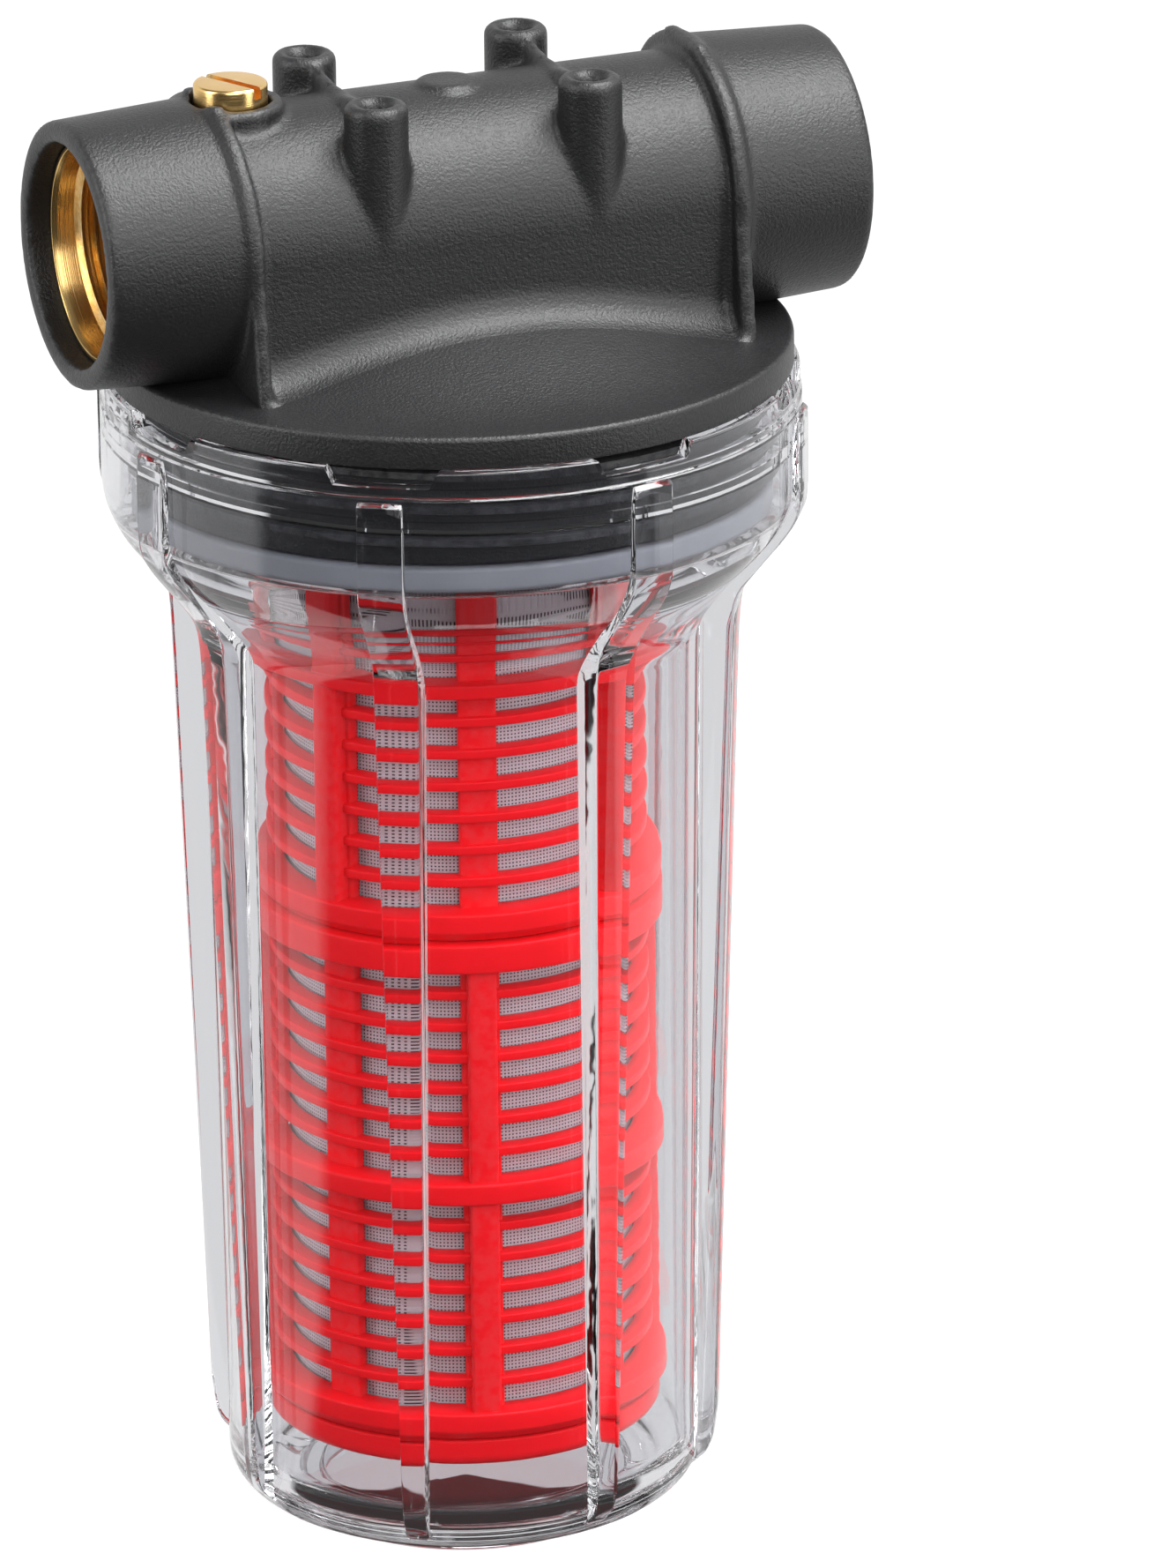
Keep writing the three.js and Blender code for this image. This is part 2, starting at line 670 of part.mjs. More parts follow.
function makeNeckSeal(topZ) {
  const centre = topZ + cartridge.neckHeight - cartridge.grooveDrop - cartridge.grooveHeight / 2
  const half = cartridge.grooveHeight / 2 - fitGap
  return tube(cartridge.boreRadius - fitGap, grooveRadius + fitGap, centre - half, centre + half, cartridge.steps)
}

function makeCap() {
  const c = cartridge
  const top = c.capLift + c.capHeight
  const floorZ = c.capLift + c.capFloor
  return revolved([
    point(0, c.capLift),
    point(c.capRadius - c.capEdge, c.capLift),
    point(c.capRadius, c.capLift + c.capEdge),
    point(c.capRadius, top),
    point(c.capRadius - c.capRim, top),
    point(c.capRadius - c.capRim, floorZ),
    point(cartridgeNeckRadius, floorZ),
    point(cartridgeNeckRadius, top + c.neckHeight - 2 * c.neckEdge),
    point(cartridgeNeckRadius - c.neckEdge, top + c.neckHeight),
    point(neckBore + c.capBoreStep, top + c.neckHeight),
    point(neckBore + c.capBoreStep, floorZ),
    point(0, floorZ),
  ], cartridge.steps)
}

// ---- Assembly ----
const halfBay = 180 / cartridge.outerBarCount
const upperTurn = cartridge.outerBarTurn
const lowerTurn = cartridge.outerBarTurn - halfBay
const lowerTopZ = moduleBottomZ + moduleHeight

const filter = new THREE.Group()
filter.add(
  piece('head', makeHead(), 'blackPlastic'),
  piece('inlet_insert', makeInsert(-1), 'brass'),
  piece('outlet_insert', makeInsert(1), 'brass'),
  piece('vent_screw', makeVentScrew(), 'brass'),
  piece('vent_seal', makeVentSeal(), 'blackRubber'),
  piece('bowl', makeBowl(), 'clearPlastic'),
  piece('bowl_seal', makeBowlSeal(), 'whiteRubber'),
  piece('cartridge_top_seal', makeNeckSeal(moduleTopZ), 'blackRubber'),
  piece('cartridge_upper_frame', makeFrame(upperModuleZ, upperTurn), 'redPlastic'),
  piece('cartridge_upper_mesh', makeMeshSleeve(upperModuleZ), 'wireMesh'),
  piece('cartridge_joint_seal', makeNeckSeal(lowerTopZ), 'blackRubber'),
  piece('cartridge_lower_frame', makeFrame(moduleBottomZ, lowerTurn), 'redPlastic'),
  piece('cartridge_lower_mesh', makeMeshSleeve(moduleBottomZ), 'wireMesh'),
  piece('cartridge_cap', makeCap(), 'redPlastic'),
)

export default filter
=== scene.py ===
import math

import bmesh
import bpy
import numpy as np
from mathutils import Matrix, Vector


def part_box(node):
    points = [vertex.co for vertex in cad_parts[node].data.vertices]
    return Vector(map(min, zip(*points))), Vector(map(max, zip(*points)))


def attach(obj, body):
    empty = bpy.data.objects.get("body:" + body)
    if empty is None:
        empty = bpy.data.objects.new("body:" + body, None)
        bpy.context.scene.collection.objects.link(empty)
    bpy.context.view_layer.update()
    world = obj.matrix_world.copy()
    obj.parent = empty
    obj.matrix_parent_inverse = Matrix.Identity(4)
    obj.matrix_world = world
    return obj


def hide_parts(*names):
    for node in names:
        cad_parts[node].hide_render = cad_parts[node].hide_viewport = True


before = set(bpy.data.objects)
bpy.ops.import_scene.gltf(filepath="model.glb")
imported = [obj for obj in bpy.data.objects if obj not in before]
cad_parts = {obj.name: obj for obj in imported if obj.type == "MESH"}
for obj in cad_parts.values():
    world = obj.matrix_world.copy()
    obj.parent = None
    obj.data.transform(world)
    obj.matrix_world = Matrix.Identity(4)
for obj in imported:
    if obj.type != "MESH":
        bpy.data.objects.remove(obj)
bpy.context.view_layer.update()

mm = 0.001
rad = math.radians
scene = bpy.context.scene


def nodeSpan(node):
    low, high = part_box(node)
    return [v / mm for v in low], [v / mm for v in high]


# the frame's own places, in millimetres
headLow, headHigh = nodeSpan("head")
insertLow, insertHigh = nodeSpan("inlet_insert")
ventLow, ventHigh = nodeSpan("vent_screw")
ventSealLow, ventSealHigh = nodeSpan("vent_seal")
bowlSealLow, bowlSealHigh = nodeSpan("bowl_seal")
capLow, capHigh = nodeSpan("cartridge_cap")
portX = headHigh[0]
bossTopZ = headHigh[2]
discRadius = headHigh[1]
neckEndZ = headLow[2]
rimZ = nodeSpan("bowl")[1][2]
pipeZ = (insertLow[2] + insertHigh[2]) / 2
ventX = (ventLow[0] + ventHigh[0]) / 2
seatGap = 0.3  # between pieces that touch


# corners are (x, y) or (x, y, radius), and a corner with a radius becomes an arc
def rounded(corners, arcSteps=5):
    points = []
    for i, corner in enumerate(corners):
        here = np.array(corner[:2], float)
        radius = corner[2] if len(corner) > 2 else 0
        before = np.array(corners[i - 1][:2], float) - here
        after = np.array(corners[(i + 1) % len(corners)][:2], float) - here
        longBefore, longAfter = np.linalg.norm(before), np.linalg.norm(after)
        if radius <= 0 or min(longBefore, longAfter) < 1e-6:
            points.append(tuple(here))
            continue
        before, after = before / longBefore, after / longAfter
        angle = math.acos(float(np.clip(before @ after, -1, 1)))
        if angle > rad(176):
            points.append(tuple(here))
            continue
        reach = min(radius / math.tan(angle / 2), 0.49 * longBefore, 0.49 * longAfter)
        radius = reach * math.tan(angle / 2)
        inward = (before + after) / np.linalg.norm(before + after)
        centre = here + inward * radius / math.sin(angle / 2)
        start, end = here + before * reach - centre, here + after * reach - centre
        first = math.atan2(start[1], start[0])
        turn = math.atan2(end[1], end[0]) - first
        turn = (turn + math.pi) % (2 * math.pi) - math.pi
        for k in range(arcSteps + 1):
            way = first + turn * k / arcSteps
            points.append((centre[0] + radius * math.cos(way), centre[1] + radius * math.sin(way)))
    return points


# a smooth curve through the points
def eased(points, steps=6):
    places = [np.array(p, float) for p in points]
    places = [2 * places[0] - places[1]] + places + [2 * places[-1] - places[-2]]
    curve = []
    for i in range(1, len(places) - 2):
        a, b, c, d = places[i - 1:i + 3]
        for k in range(steps):
            t = k / steps
            curve.append(tuple(0.5 * (2 * b + (c - a) * t + (2 * a - 5 * b + 4 * c - d) * t * t
                                      + (3 * b - a - 3 * c + d) * t ** 3)))
    curve.append(tuple(places[-2]))
    return curve


def makePiece(name, corners, faces):
    mesh = bpy.data.meshes.new(name)
    mesh.from_pydata([tuple(v * mm for v in c) for c in corners], [], faces)
    mesh.update()
    piece = bpy.data.objects.new(name, mesh)
    scene.collection.objects.link(piece)
    return piece


def outlineArea(outline):
    return sum(a[0] * b[1] - b[0] * a[1] for a, b in zip(outline, outline[1:] + outline[:1])) / 2


# turns a closed outline of (radius, height) about the Z axis
def turned(name, outline, steps=160):
    if outlineArea(outline) < 0:
        outline = outline[::-1]
    corners, rings, faces = [], [], []
    for radius, height in outline:
        first = len(corners)
        if radius < 1e-6:
            rings.append([first] * steps)
            corners.append((0, 0, height))
            continue
        rings.append(list(range(first, first + steps)))
        for i in range(steps):
            way = 2 * math.pi * i / steps
            corners.append((radius * math.cos(way), radius * math.sin(way), height))
    for low, high in zip(rings, rings[1:] + rings[:1]):
        for i in range(steps):
            k = (i + 1) % steps
            face = list(dict.fromkeys((low[i], low[k], high[k], high[i])))
            if len(face) > 2:
                faces.append(face)
    return makePiece(name, corners, faces)


def ring(name, outer, inner, low, high, edge=0.3, steps=160):
    section = [(inner, low, edge), (outer, low, edge), (outer, high, edge), (inner, high, edge)]
    return turned(name, rounded(section), steps)


def rod(name, radius, low, high, edge=0, steps=96):
    return turned(name, rounded([(0, low), (radius, low, edge), (radius, high, edge), (0, high)]), steps)


# pushes a closed outline of (across, up) from one depth to another
def pushed(name, outline, low, high, place):
    if outlineArea(outline) < 0:
        outline = outline[::-1]
    count = len(outline)
    corners = [place(a, b, low) for a, b in outline] + [place(a, b, high) for a, b in outline]
    faces = [list(range(count))[::-1], list(range(count, 2 * count))]
    for i in range(count):
        k = (i + 1) % count
        faces.append([i, k, k + count, i + count])
    piece = makePiece(name, corners, faces)
    return tidied(piece)


def tidied(piece, merge=1e-7):
    form = bmesh.new()
    form.from_mesh(piece.data)
    bmesh.ops.remove_doubles(form, verts=form.verts, dist=merge)
    bmesh.ops.recalc_face_normals(form, faces=form.faces)
    form.to_mesh(piece.data)
    form.free()
    return piece


def moved(piece, matrix):
    piece.data.transform(matrix)
    return piece


def shifted(piece, x=0, y=0, z=0):
    return moved(piece, Matrix.Translation((x * mm, y * mm, z * mm)))


def spun(piece, degrees):
    return moved(piece, Matrix.Rotation(rad(degrees), 4, "Z"))


# lays a piece turned about Z along the pipe, its +Z end towards +X
def alongPipe(piece):
    return shifted(moved(piece, Matrix.Rotation(rad(90), 4, "Y")), z=pipeZ)


def dropped(*pieces):
    for piece in pieces:
        mesh = piece.data
        bpy.data.objects.remove(piece)
        bpy.data.meshes.remove(mesh)


# applies every modifier, so that the piece is a plain mesh
def baked(piece):
    shape = bpy.data.meshes.new_from_object(piece.evaluated_get(bpy.context.evaluated_depsgraph_get()))
    old = piece.data
    piece.modifiers.clear()
    piece.data = shape
    shape.name = piece.name
    if old.users == 0:
        bpy.data.meshes.remove(old)
    return piece


def combined(base, tools, how="UNION"):
    for tool in tools:
        step = base.modifiers.new("combine", "BOOLEAN")
        step.operation = how
        step.solver = "MANIFOLD"
        step.object = tool
        baked(base)
        dropped(tool)
    return base


def gathered(name, pieces):
    form = bmesh.new()
    for piece in pieces:
        form.from_mesh(piece.data)
    mesh = bpy.data.meshes.new(name)
    form.to_mesh(mesh)
    form.free()
    whole = bpy.data.objects.new(name, mesh)
    scene.collection.objects.link(whole)
    dropped(*pieces)
    return whole


def finished(piece, material, body, nodes=(), sharp=32):
    piece.data.materials.clear()
    piece.data.materials.append(material)
    piece.data.shade_smooth()
    piece.data.set_sharp_from_angle(angle=rad(sharp))
    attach(piece, body)
    if nodes:
        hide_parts(*nodes)
    return piece


# node trees
def addNode(tree, kind, inputs=None, **settings):
    node = tree.nodes.new(kind)
    for key, value in settings.items():
        setattr(node, key, value)
    for key, value in (inputs or {}).items():
        socket = node.inputs[key]
        if isinstance(value, bpy.types.NodeSocket):
            tree.links.new(value, socket)
        else:
            socket.default_value = value
    return node


def startTree(name, inputs):
    tree = bpy.data.node_groups.new(name, "GeometryNodeTree")
    tree.is_modifier = True
    tree.interface.new_socket("Geometry", in_out="INPUT", socket_type="NodeSocketGeometry")
    for label, kind in inputs:
        tree.interface.new_socket(label, in_out="INPUT", socket_type="NodeSocket" + kind)
    tree.interface.new_socket("Geometry", in_out="OUTPUT", socket_type="NodeSocketGeometry")
    return tree, addNode(tree, "NodeGroupInput").outputs


def endTree(tree, geometry, material):
    real = addNode(tree, "GeometryNodeRealizeInstances", {"Geometry": geometry})
    coated = addNode(tree, "GeometryNodeSetMaterial", {"Geometry": real.outputs[0], "Material": material})
    addNode(tree, "NodeGroupOutput", {"Geometry": coated.outputs[0]})
    return tree


def grown(piece, tree, values):
    step = piece.modifiers.new(tree.name, "NODES")
    step.node_group = tree
    for item in tree.interface.items_tree:
        if item.in_out == "INPUT" and item.name in values:
            step[item.identifier] = values[item.name]
    return baked(piece)


# copies of a piece round the Z axis
def turnTree():
    tree, given = startTree("turnCopies", [
        ("Count", "Int"), ("Start Angle", "Float"), ("Material", "Material")])
    spots = addNode(tree, "GeometryNodeMeshLine", {"Count": given["Count"], "Offset": (0, 0, 0)})
    share = addNode(tree, "ShaderNodeMath", {0: math.tau, 1: given["Count"]}, operation="DIVIDE")
    index = addNode(tree, "GeometryNodeInputIndex")
    angle = addNode(tree, "ShaderNodeMath", {0: index.outputs[0], 1: share.outputs[0], 2: given["Start Angle"]},
                    operation="MULTIPLY_ADD")
    euler = addNode(tree, "ShaderNodeCombineXYZ", {"Z": angle.outputs[0]})
    turn = addNode(tree, "FunctionNodeEulerToRotation", {0: euler.outputs[0]})
    copies = addNode(tree, "GeometryNodeInstanceOnPoints",
                     {"Points": spots.outputs[0], "Instance": given["Geometry"], "Rotation": turn.outputs[0]})
    return endTree(tree, copies.outputs[0], given["Material"])


# copies of a piece one above another
def stackTree():
    tree, given = startTree("stackCopies", [("Count", "Int"), ("Pitch", "Float"), ("Material", "Material")])
    rise = addNode(tree, "ShaderNodeCombineXYZ", {"Z": given["Pitch"]})
    spots = addNode(tree, "GeometryNodeMeshLine", {"Count": given["Count"], "Offset": rise.outputs[0]})
    copies = addNode(tree, "GeometryNodeInstanceOnPoints",
                     {"Points": spots.outputs[0], "Instance": given["Geometry"]})
    return endTree(tree, copies.outputs[0], given["Material"])


# a thread's ridge: a trapezium swept along a helix, with its foot at Radius and its crest Depth out from it
def threadTree():
    tree, given = startTree("threadRidge", [
        ("Radius", "Float"), ("Depth", "Float"), ("Foot Width", "Float"), ("Crest Width", "Float"),
        ("Pitch", "Float"), ("Turns", "Float"), ("Start Height", "Float"), ("Steps", "Int"),
        ("Material", "Material")])
    climb = addNode(tree, "ShaderNodeMath", {0: given["Pitch"], 1: given["Turns"]}, operation="MULTIPLY")
    helix = addNode(tree, "GeometryNodeCurveSpiral", {
        "Resolution": given["Steps"], "Rotations": given["Turns"], "Start Radius": given["Radius"],
        "End Radius": given["Radius"], "Height": climb.outputs[0]})
    upright = addNode(tree, "GeometryNodeSetCurveNormal", {"Curve": helix.outputs[0]}, mode="Z_UP")
    half = addNode(tree, "ShaderNodeMath", {0: given["Depth"], 1: 0.5}, operation="MULTIPLY")
    section = addNode(tree, "GeometryNodeCurvePrimitiveQuadrilateral", {
        "Bottom Width": given["Foot Width"], "Top Width": given["Crest Width"], "Offset": 0.0,
        "Height": given["Depth"]}, mode="TRAPEZOID")
    outward = addNode(tree, "ShaderNodeCombineXYZ", {"Y": half.outputs[0]})
    placed = addNode(tree, "GeometryNodeTransform", {"Geometry": section.outputs[0],
                                                     "Translation": outward.outputs[0]})
    aside = addNode(tree, "GeometryNodeTransform", {"Geometry": placed.outputs[0],
                                                    "Rotation": (0, 0, rad(90))})
    sweep = addNode(tree, "GeometryNodeCurveToMesh", {"Curve": upright.outputs[0],
                                                      "Profile Curve": aside.outputs[0], "Fill Caps": True})
    lift = addNode(tree, "ShaderNodeCombineXYZ", {"Z": given["Start Height"]})
    raised = addNode(tree, "GeometryNodeTransform", {"Geometry": sweep.outputs[0],
                                                     "Translation": lift.outputs[0]})
    return endTree(tree, raised.outputs[0], given["Material"])


turnCopies = turnTree()
stackCopies = stackTree()
threadRidge = threadTree()


def around(piece, count, startDegrees=0.0):
    return grown(piece, turnCopies, {"Count": count, "Start Angle": rad(startDegrees)})


def stacked(piece, count, pitch):
    return grown(piece, stackCopies, {"Count": count, "Pitch": pitch * mm})


def helicalRidge(name, radius, depth, footWidth, crestWidth, pitch, turns, startZ, steps=96):
    seed = makePiece(name, [], [])
    sizes = {"Radius": radius, "Depth": depth, "Foot Width": footWidth, "Crest Width": crestWidth,
             "Pitch": pitch, "Start Height": startZ}
    values = {key: value * mm for key, value in sizes.items()}
    ridge = grown(seed, threadRidge, values | {"Turns": float(turns), "Steps": steps})
    return tidied(ridge, 1e-9)


print("helpers and trees ready")


# shader node groups
def startGroup(name, inputs, outputs):
    tree = bpy.data.node_groups.new(name, "ShaderNodeTree")
    for label, kind, value in inputs:
        tree.interface.new_socket(label, in_out="INPUT", socket_type="NodeSocket" + kind).default_value = value
    for label, kind in outputs:
        tree.interface.new_socket(label, in_out="OUTPUT", socket_type="NodeSocket" + kind)
    return tree, addNode(tree, "NodeGroupInput").outputs


def mathNode(tree, how, *values, clamp=False):
    return addNode(tree, "ShaderNodeMath", dict(enumerate(values)), operation=how, use_clamp=clamp).outputs[0]


def placeIn(tree):
    return addNode(tree, "ShaderNodeTexCoord").outputs["Object"]


# fine moulded grain: Height for a bump, Fleck for roughness and colour
def grainGroup():
    tree, given = startGroup("mouldedGrain", [("Grain Size", "Float", 0.3), ("Cloud Size", "Float", 14.0)],
                             [("Height", "Float"), ("Fleck", "Float"), ("Cloud", "Float")])
    fineScale = mathNode(tree, "DIVIDE", 1 / mm, given["Grain Size"])
    cloudScale = mathNode(tree, "DIVIDE", 1 / mm, given["Cloud Size"])
    place = placeIn(tree)
    fine = addNode(tree, "ShaderNodeTexNoise", {"Vector": place, "Scale": fineScale, "Detail": 2.0,
                                                "Roughness": 0.6})
    cloud = addNode(tree, "ShaderNodeTexNoise", {"Vector": place, "Scale": cloudScale, "Detail": 3.0})
    fleck = addNode(tree, "ShaderNodeMapRange", {"Value": fine.outputs[0], "From Min": 0.35, "From Max": 0.65})
    addNode(tree, "NodeGroupOutput", {"Height": fine.outputs[0], "Fleck": fleck.outputs[0],
                                      "Cloud": cloud.outputs[0]})
    return tree


# Worn is 1 on convex edges, broken up by noise
def wearGroup():
    tree, given = startGroup("edgeWear", [("Amount", "Float", 0.5), ("Patch Size", "Float", 2.0)],
                             [("Worn", "Float")])
    edge = addNode(tree, "ShaderNodeNewGeometry").outputs["Pointiness"]
    raised = addNode(tree, "ShaderNodeMapRange", {"Value": edge, "From Min": 0.515, "From Max": 0.58})
    scale = mathNode(tree, "DIVIDE", 1 / mm, given["Patch Size"])
    patch = addNode(tree, "ShaderNodeTexNoise", {"Vector": placeIn(tree), "Scale": scale, "Detail": 3.0})
    broken = addNode(tree, "ShaderNodeMapRange", {"Value": patch.outputs[0], "From Min": 0.35, "From Max": 0.6})
    both = mathNode(tree, "MULTIPLY", raised.outputs[0], broken.outputs[0])
    addNode(tree, "NodeGroupOutput", {"Worn": mathNode(tree, "MULTIPLY", both, given["Amount"], clamp=True)})
    return tree


# a light dust that lies on faces looking up
def dustGroup():
    tree, given = startGroup("restingDust", [("Amount", "Float", 0.2), ("Patch Size", "Float", 9.0)],
                             [("Dust", "Float")])
    normal = addNode(tree, "ShaderNodeNewGeometry").outputs["Normal"]
    up = addNode(tree, "ShaderNodeSeparateXYZ", {0: normal}).outputs["Z"]
    facing = addNode(tree, "ShaderNodeMapRange", {"Value": up, "From Min": 0.3, "From Max": 1.0})
    scale = mathNode(tree, "DIVIDE", 1 / mm, given["Patch Size"])
    patch = addNode(tree, "ShaderNodeTexNoise", {"Vector": placeIn(tree), "Scale": scale, "Detail": 5.0})
    drift = mathNode(tree, "MULTIPLY", facing.outputs[0], patch.outputs[0])
    addNode(tree, "NodeGroupOutput", {"Dust": mathNode(tree, "MULTIPLY", drift, given["Amount"])})
    return tree


# plain woven wire round the Z axis: Height of the wires and Hole where there is none
def weaveGroup():
    tree, given = startGroup("wovenWire", [("Pitch", "Float", 0.5), ("Radius", "Float", 28.6)],
                             [("Height", "Float"), ("Hole", "Float")])
    axes = addNode(tree, "ShaderNodeSeparateXYZ", {0: placeIn(tree)}).outputs
    angle = mathNode(tree, "ARCTAN2", axes["Y"], axes["X"])
    rate = mathNode(tree, "DIVIDE", math.pi, given["Pitch"])
    across = mathNode(tree, "MULTIPLY", mathNode(tree, "MULTIPLY", angle, given["Radius"]), rate)
    up = mathNode(tree, "MULTIPLY", mathNode(tree, "MULTIPLY", axes["Z"], 1 / mm), rate)
    warp = mathNode(tree, "ABSOLUTE", mathNode(tree, "SINE", across))
    weft = mathNode(tree, "ABSOLUTE", mathNode(tree, "SINE", up))
    over = mathNode(tree, "MULTIPLY", mathNode(tree, "COSINE", across), mathNode(tree, "COSINE", up))
    height = mathNode(tree, "MAXIMUM", warp, weft)
    crossed = mathNode(tree, "MULTIPLY_ADD", over, 0.25, height)
    hole = addNode(tree, "ShaderNodeMapRange", {"Value": height, "From Min": 0.7, "From Max": 0.55})
    addNode(tree, "NodeGroupOutput", {"Height": crossed, "Hole": hole.outputs[0]})
    return tree


# lathe marks that run round one axis, as fine bands along it
def latheGroup():
    tree, given = startGroup("latheMarks", [("Band Size", "Float", 0.25), ("Along", "Vector", (1, 0, 0))],
                             [("Height", "Float"), ("Tint", "Float")])
    place = placeIn(tree)
    depth = addNode(tree, "ShaderNodeVectorMath", {0: place, 1: given["Along"]}, operation="DOT_PRODUCT")
    scale = mathNode(tree, "DIVIDE", 1 / mm, given["Band Size"])
    bands = addNode(tree, "ShaderNodeTexNoise", {"W": mathNode(tree, "MULTIPLY", depth.outputs["Value"], scale),
                                                 "Scale": 1.0, "Detail": 2.0}, noise_dimensions="1D")
    tint = addNode(tree, "ShaderNodeTexNoise", {"Vector": place, "Scale": 220.0, "Detail": 3.0})
    addNode(tree, "NodeGroupOutput", {"Height": bands.outputs[0], "Tint": tint.outputs[0]})
    return tree


mouldedGrain = grainGroup()
edgeWear = wearGroup()
restingDust = dustGroup()
wovenWire = weaveGroup()
latheMarks = latheGroup()


def newMaterial(name):
    material = bpy.data.materials.new(name)
    material.use_nodes = True
    tree = material.node_tree
    tree.nodes.clear()
    return material, tree


def useGroup(tree, group, **values):
    node = addNode(tree, "ShaderNodeGroup", node_tree=group)
    for key, value in values.items():
        node.inputs[key.replace("_", " ")].default_value = value
    return node.outputs


def mixedColour(tree, share, first, second):
    mix = addNode(tree, "ShaderNodeMix", data_type="RGBA")
    for socket, value in ((mix.inputs["Factor"], share), (mix.inputs[6], first), (mix.inputs[7], second)):
        if isinstance(value, bpy.types.NodeSocket):
            tree.links.new(value, socket)
        else:
            socket.default_value = value if not isinstance(value, tuple) or len(value) == 4 else (*value, 1)
    return mix.outputs[2]


def lerped(tree, share, low, high):
    return addNode(tree, "ShaderNodeMapRange", {"Value": share, "To Min": low, "To Max": high}).outputs[0]


def bumped(tree, height, depth, strength=1.0, under=None):
    inputs = {"Height": height, "Distance": depth * mm, "Strength": strength}
    if under is not None:
        inputs["Normal"] = under
    return addNode(tree, "ShaderNodeBump", inputs).outputs[0]


def surfaced(tree, shader):
    addNode(tree, "ShaderNodeOutputMaterial", {"Surface": shader.outputs[0]})


blackLook = dict(colour=(0.0052, 0.0052, 0.0058), dustColour=(0.07, 0.07, 0.075),
                 wornColour=(0.06, 0.06, 0.063), smooth=0.36, rough=0.52, grainDepth=0.14, grainSize=0.5)


def makeBlackPlastic():
    material, tree = newMaterial("blackGrainedPlastic")
    grain = useGroup(tree, mouldedGrain, Grain_Size=blackLook["grainSize"], Cloud_Size=16.0)
    worn = useGroup(tree, edgeWear, Amount=0.5, Patch_Size=1.6)["Worn"]
    dust = useGroup(tree, restingDust, Amount=0.08, Patch_Size=7.0)["Dust"]
    base = mixedColour(tree, worn, blackLook["colour"], blackLook["wornColour"])
    base = mixedColour(tree, dust, base, blackLook["dustColour"])
    roughness = lerped(tree, mathNode(tree, "MULTIPLY_ADD", grain["Fleck"], 0.5,
                                      mathNode(tree, "MULTIPLY", grain["Cloud"], 0.5)),
                       blackLook["smooth"], blackLook["rough"])
    shader = addNode(tree, "ShaderNodeBsdfPrincipled", {
        "Base Color": base, "Roughness": roughness, "IOR": 1.5,
        "Normal": bumped(tree, grain["Height"], blackLook["grainDepth"])})
    surfaced(tree, shader)
    return material


redLook = dict(colour=(0.92, 0.010, 0.016), deep=(0.78, 0.006, 0.011), gloss=0.12, smooth=0.28, rough=0.38,
               grainDepth=0.012)


def makeRedPlastic():
    material, tree = newMaterial("redSatinPlastic")
    grain = useGroup(tree, mouldedGrain, Grain_Size=0.5, Cloud_Size=20.0)
    base = mixedColour(tree, grain["Cloud"], redLook["deep"], redLook["colour"])
    worn = useGroup(tree, edgeWear, Amount=0.25, Patch_Size=1.5)["Worn"]
    base = mixedColour(tree, worn, base, (0.75, 0.08, 0.08))
    shader = addNode(tree, "ShaderNodeBsdfPrincipled", {
        "Base Color": base, "Roughness": lerped(tree, grain["Fleck"], redLook["smooth"], redLook["rough"]),
        "IOR": 1.49, "Specular IOR Level": redLook["gloss"],
        "Subsurface Weight": 0.1, "Subsurface Scale": 0.0015, "Subsurface Radius": (1.0, 0.12, 0.1),
        "Normal": bumped(tree, grain["Height"], redLook["grainDepth"])})
    surfaced(tree, shader)
    return material


brassLook = dict(colour=(0.90, 0.62, 0.25), shade=(0.70, 0.42, 0.14), smooth=0.17, rough=0.3, markDepth=0.02)


def makeBrass(name, along):
    material, tree = newMaterial(name)
    marks = useGroup(tree, latheMarks, Band_Size=0.16, Along=along)
    worn = useGroup(tree, edgeWear, Amount=0.8, Patch_Size=1.0)["Worn"]
    base = mixedColour(tree, lerped(tree, marks["Tint"], 0.0, 0.7), brassLook["colour"], brassLook["shade"])
    base = mixedColour(tree, worn, base, (0.93, 0.74, 0.42))
    shader = addNode(tree, "ShaderNodeBsdfPrincipled", {
        "Base Color": base, "Metallic": 1.0,
        "Roughness": lerped(tree, marks["Height"], brassLook["smooth"], brassLook["rough"]),
        "Normal": bumped(tree, marks["Height"], brassLook["markDepth"])})
    surfaced(tree, shader)
    return material


clearLook = dict(colour=(0.80, 0.805, 0.83), roughness=0.015, ior=1.55, rippleDepth=0.02,
                 lampColour=(0.86, 0.87, 0.91))


def makeClearPlastic():
    material, tree = newMaterial("clearBowlPlastic")
    ripple = useGroup(tree, mouldedGrain, Grain_Size=9.0, Cloud_Size=30.0)
    glass = addNode(tree, "ShaderNodeBsdfPrincipled", {
        "Base Color": (*clearLook["colour"], 1), "Roughness": clearLook["roughness"], "IOR": clearLook["ior"],
        "Transmission Weight": 1.0, "Normal": bumped(tree, ripple["Height"], clearLook["rippleDepth"])})
    through = addNode(tree, "ShaderNodeBsdfTransparent", {"Color": (*clearLook["lampColour"], 1)})
    path = addNode(tree, "ShaderNodeLightPath")
    mix = addNode(tree, "ShaderNodeMixShader", {0: path.outputs["Is Shadow Ray"], 1: glass.outputs[0],
                                                2: through.outputs[0]})
    surfaced(tree, mix)
    return material


# gap is painted shade: the dark, shaded inside of the cartridge that shows through the holes of the weave,
# painted onto the solid sleeve
meshLook = dict(wire=(0.62, 0.62, 0.63), gap=(0.07, 0.055, 0.055), pitch=0.6, depth=0.12)


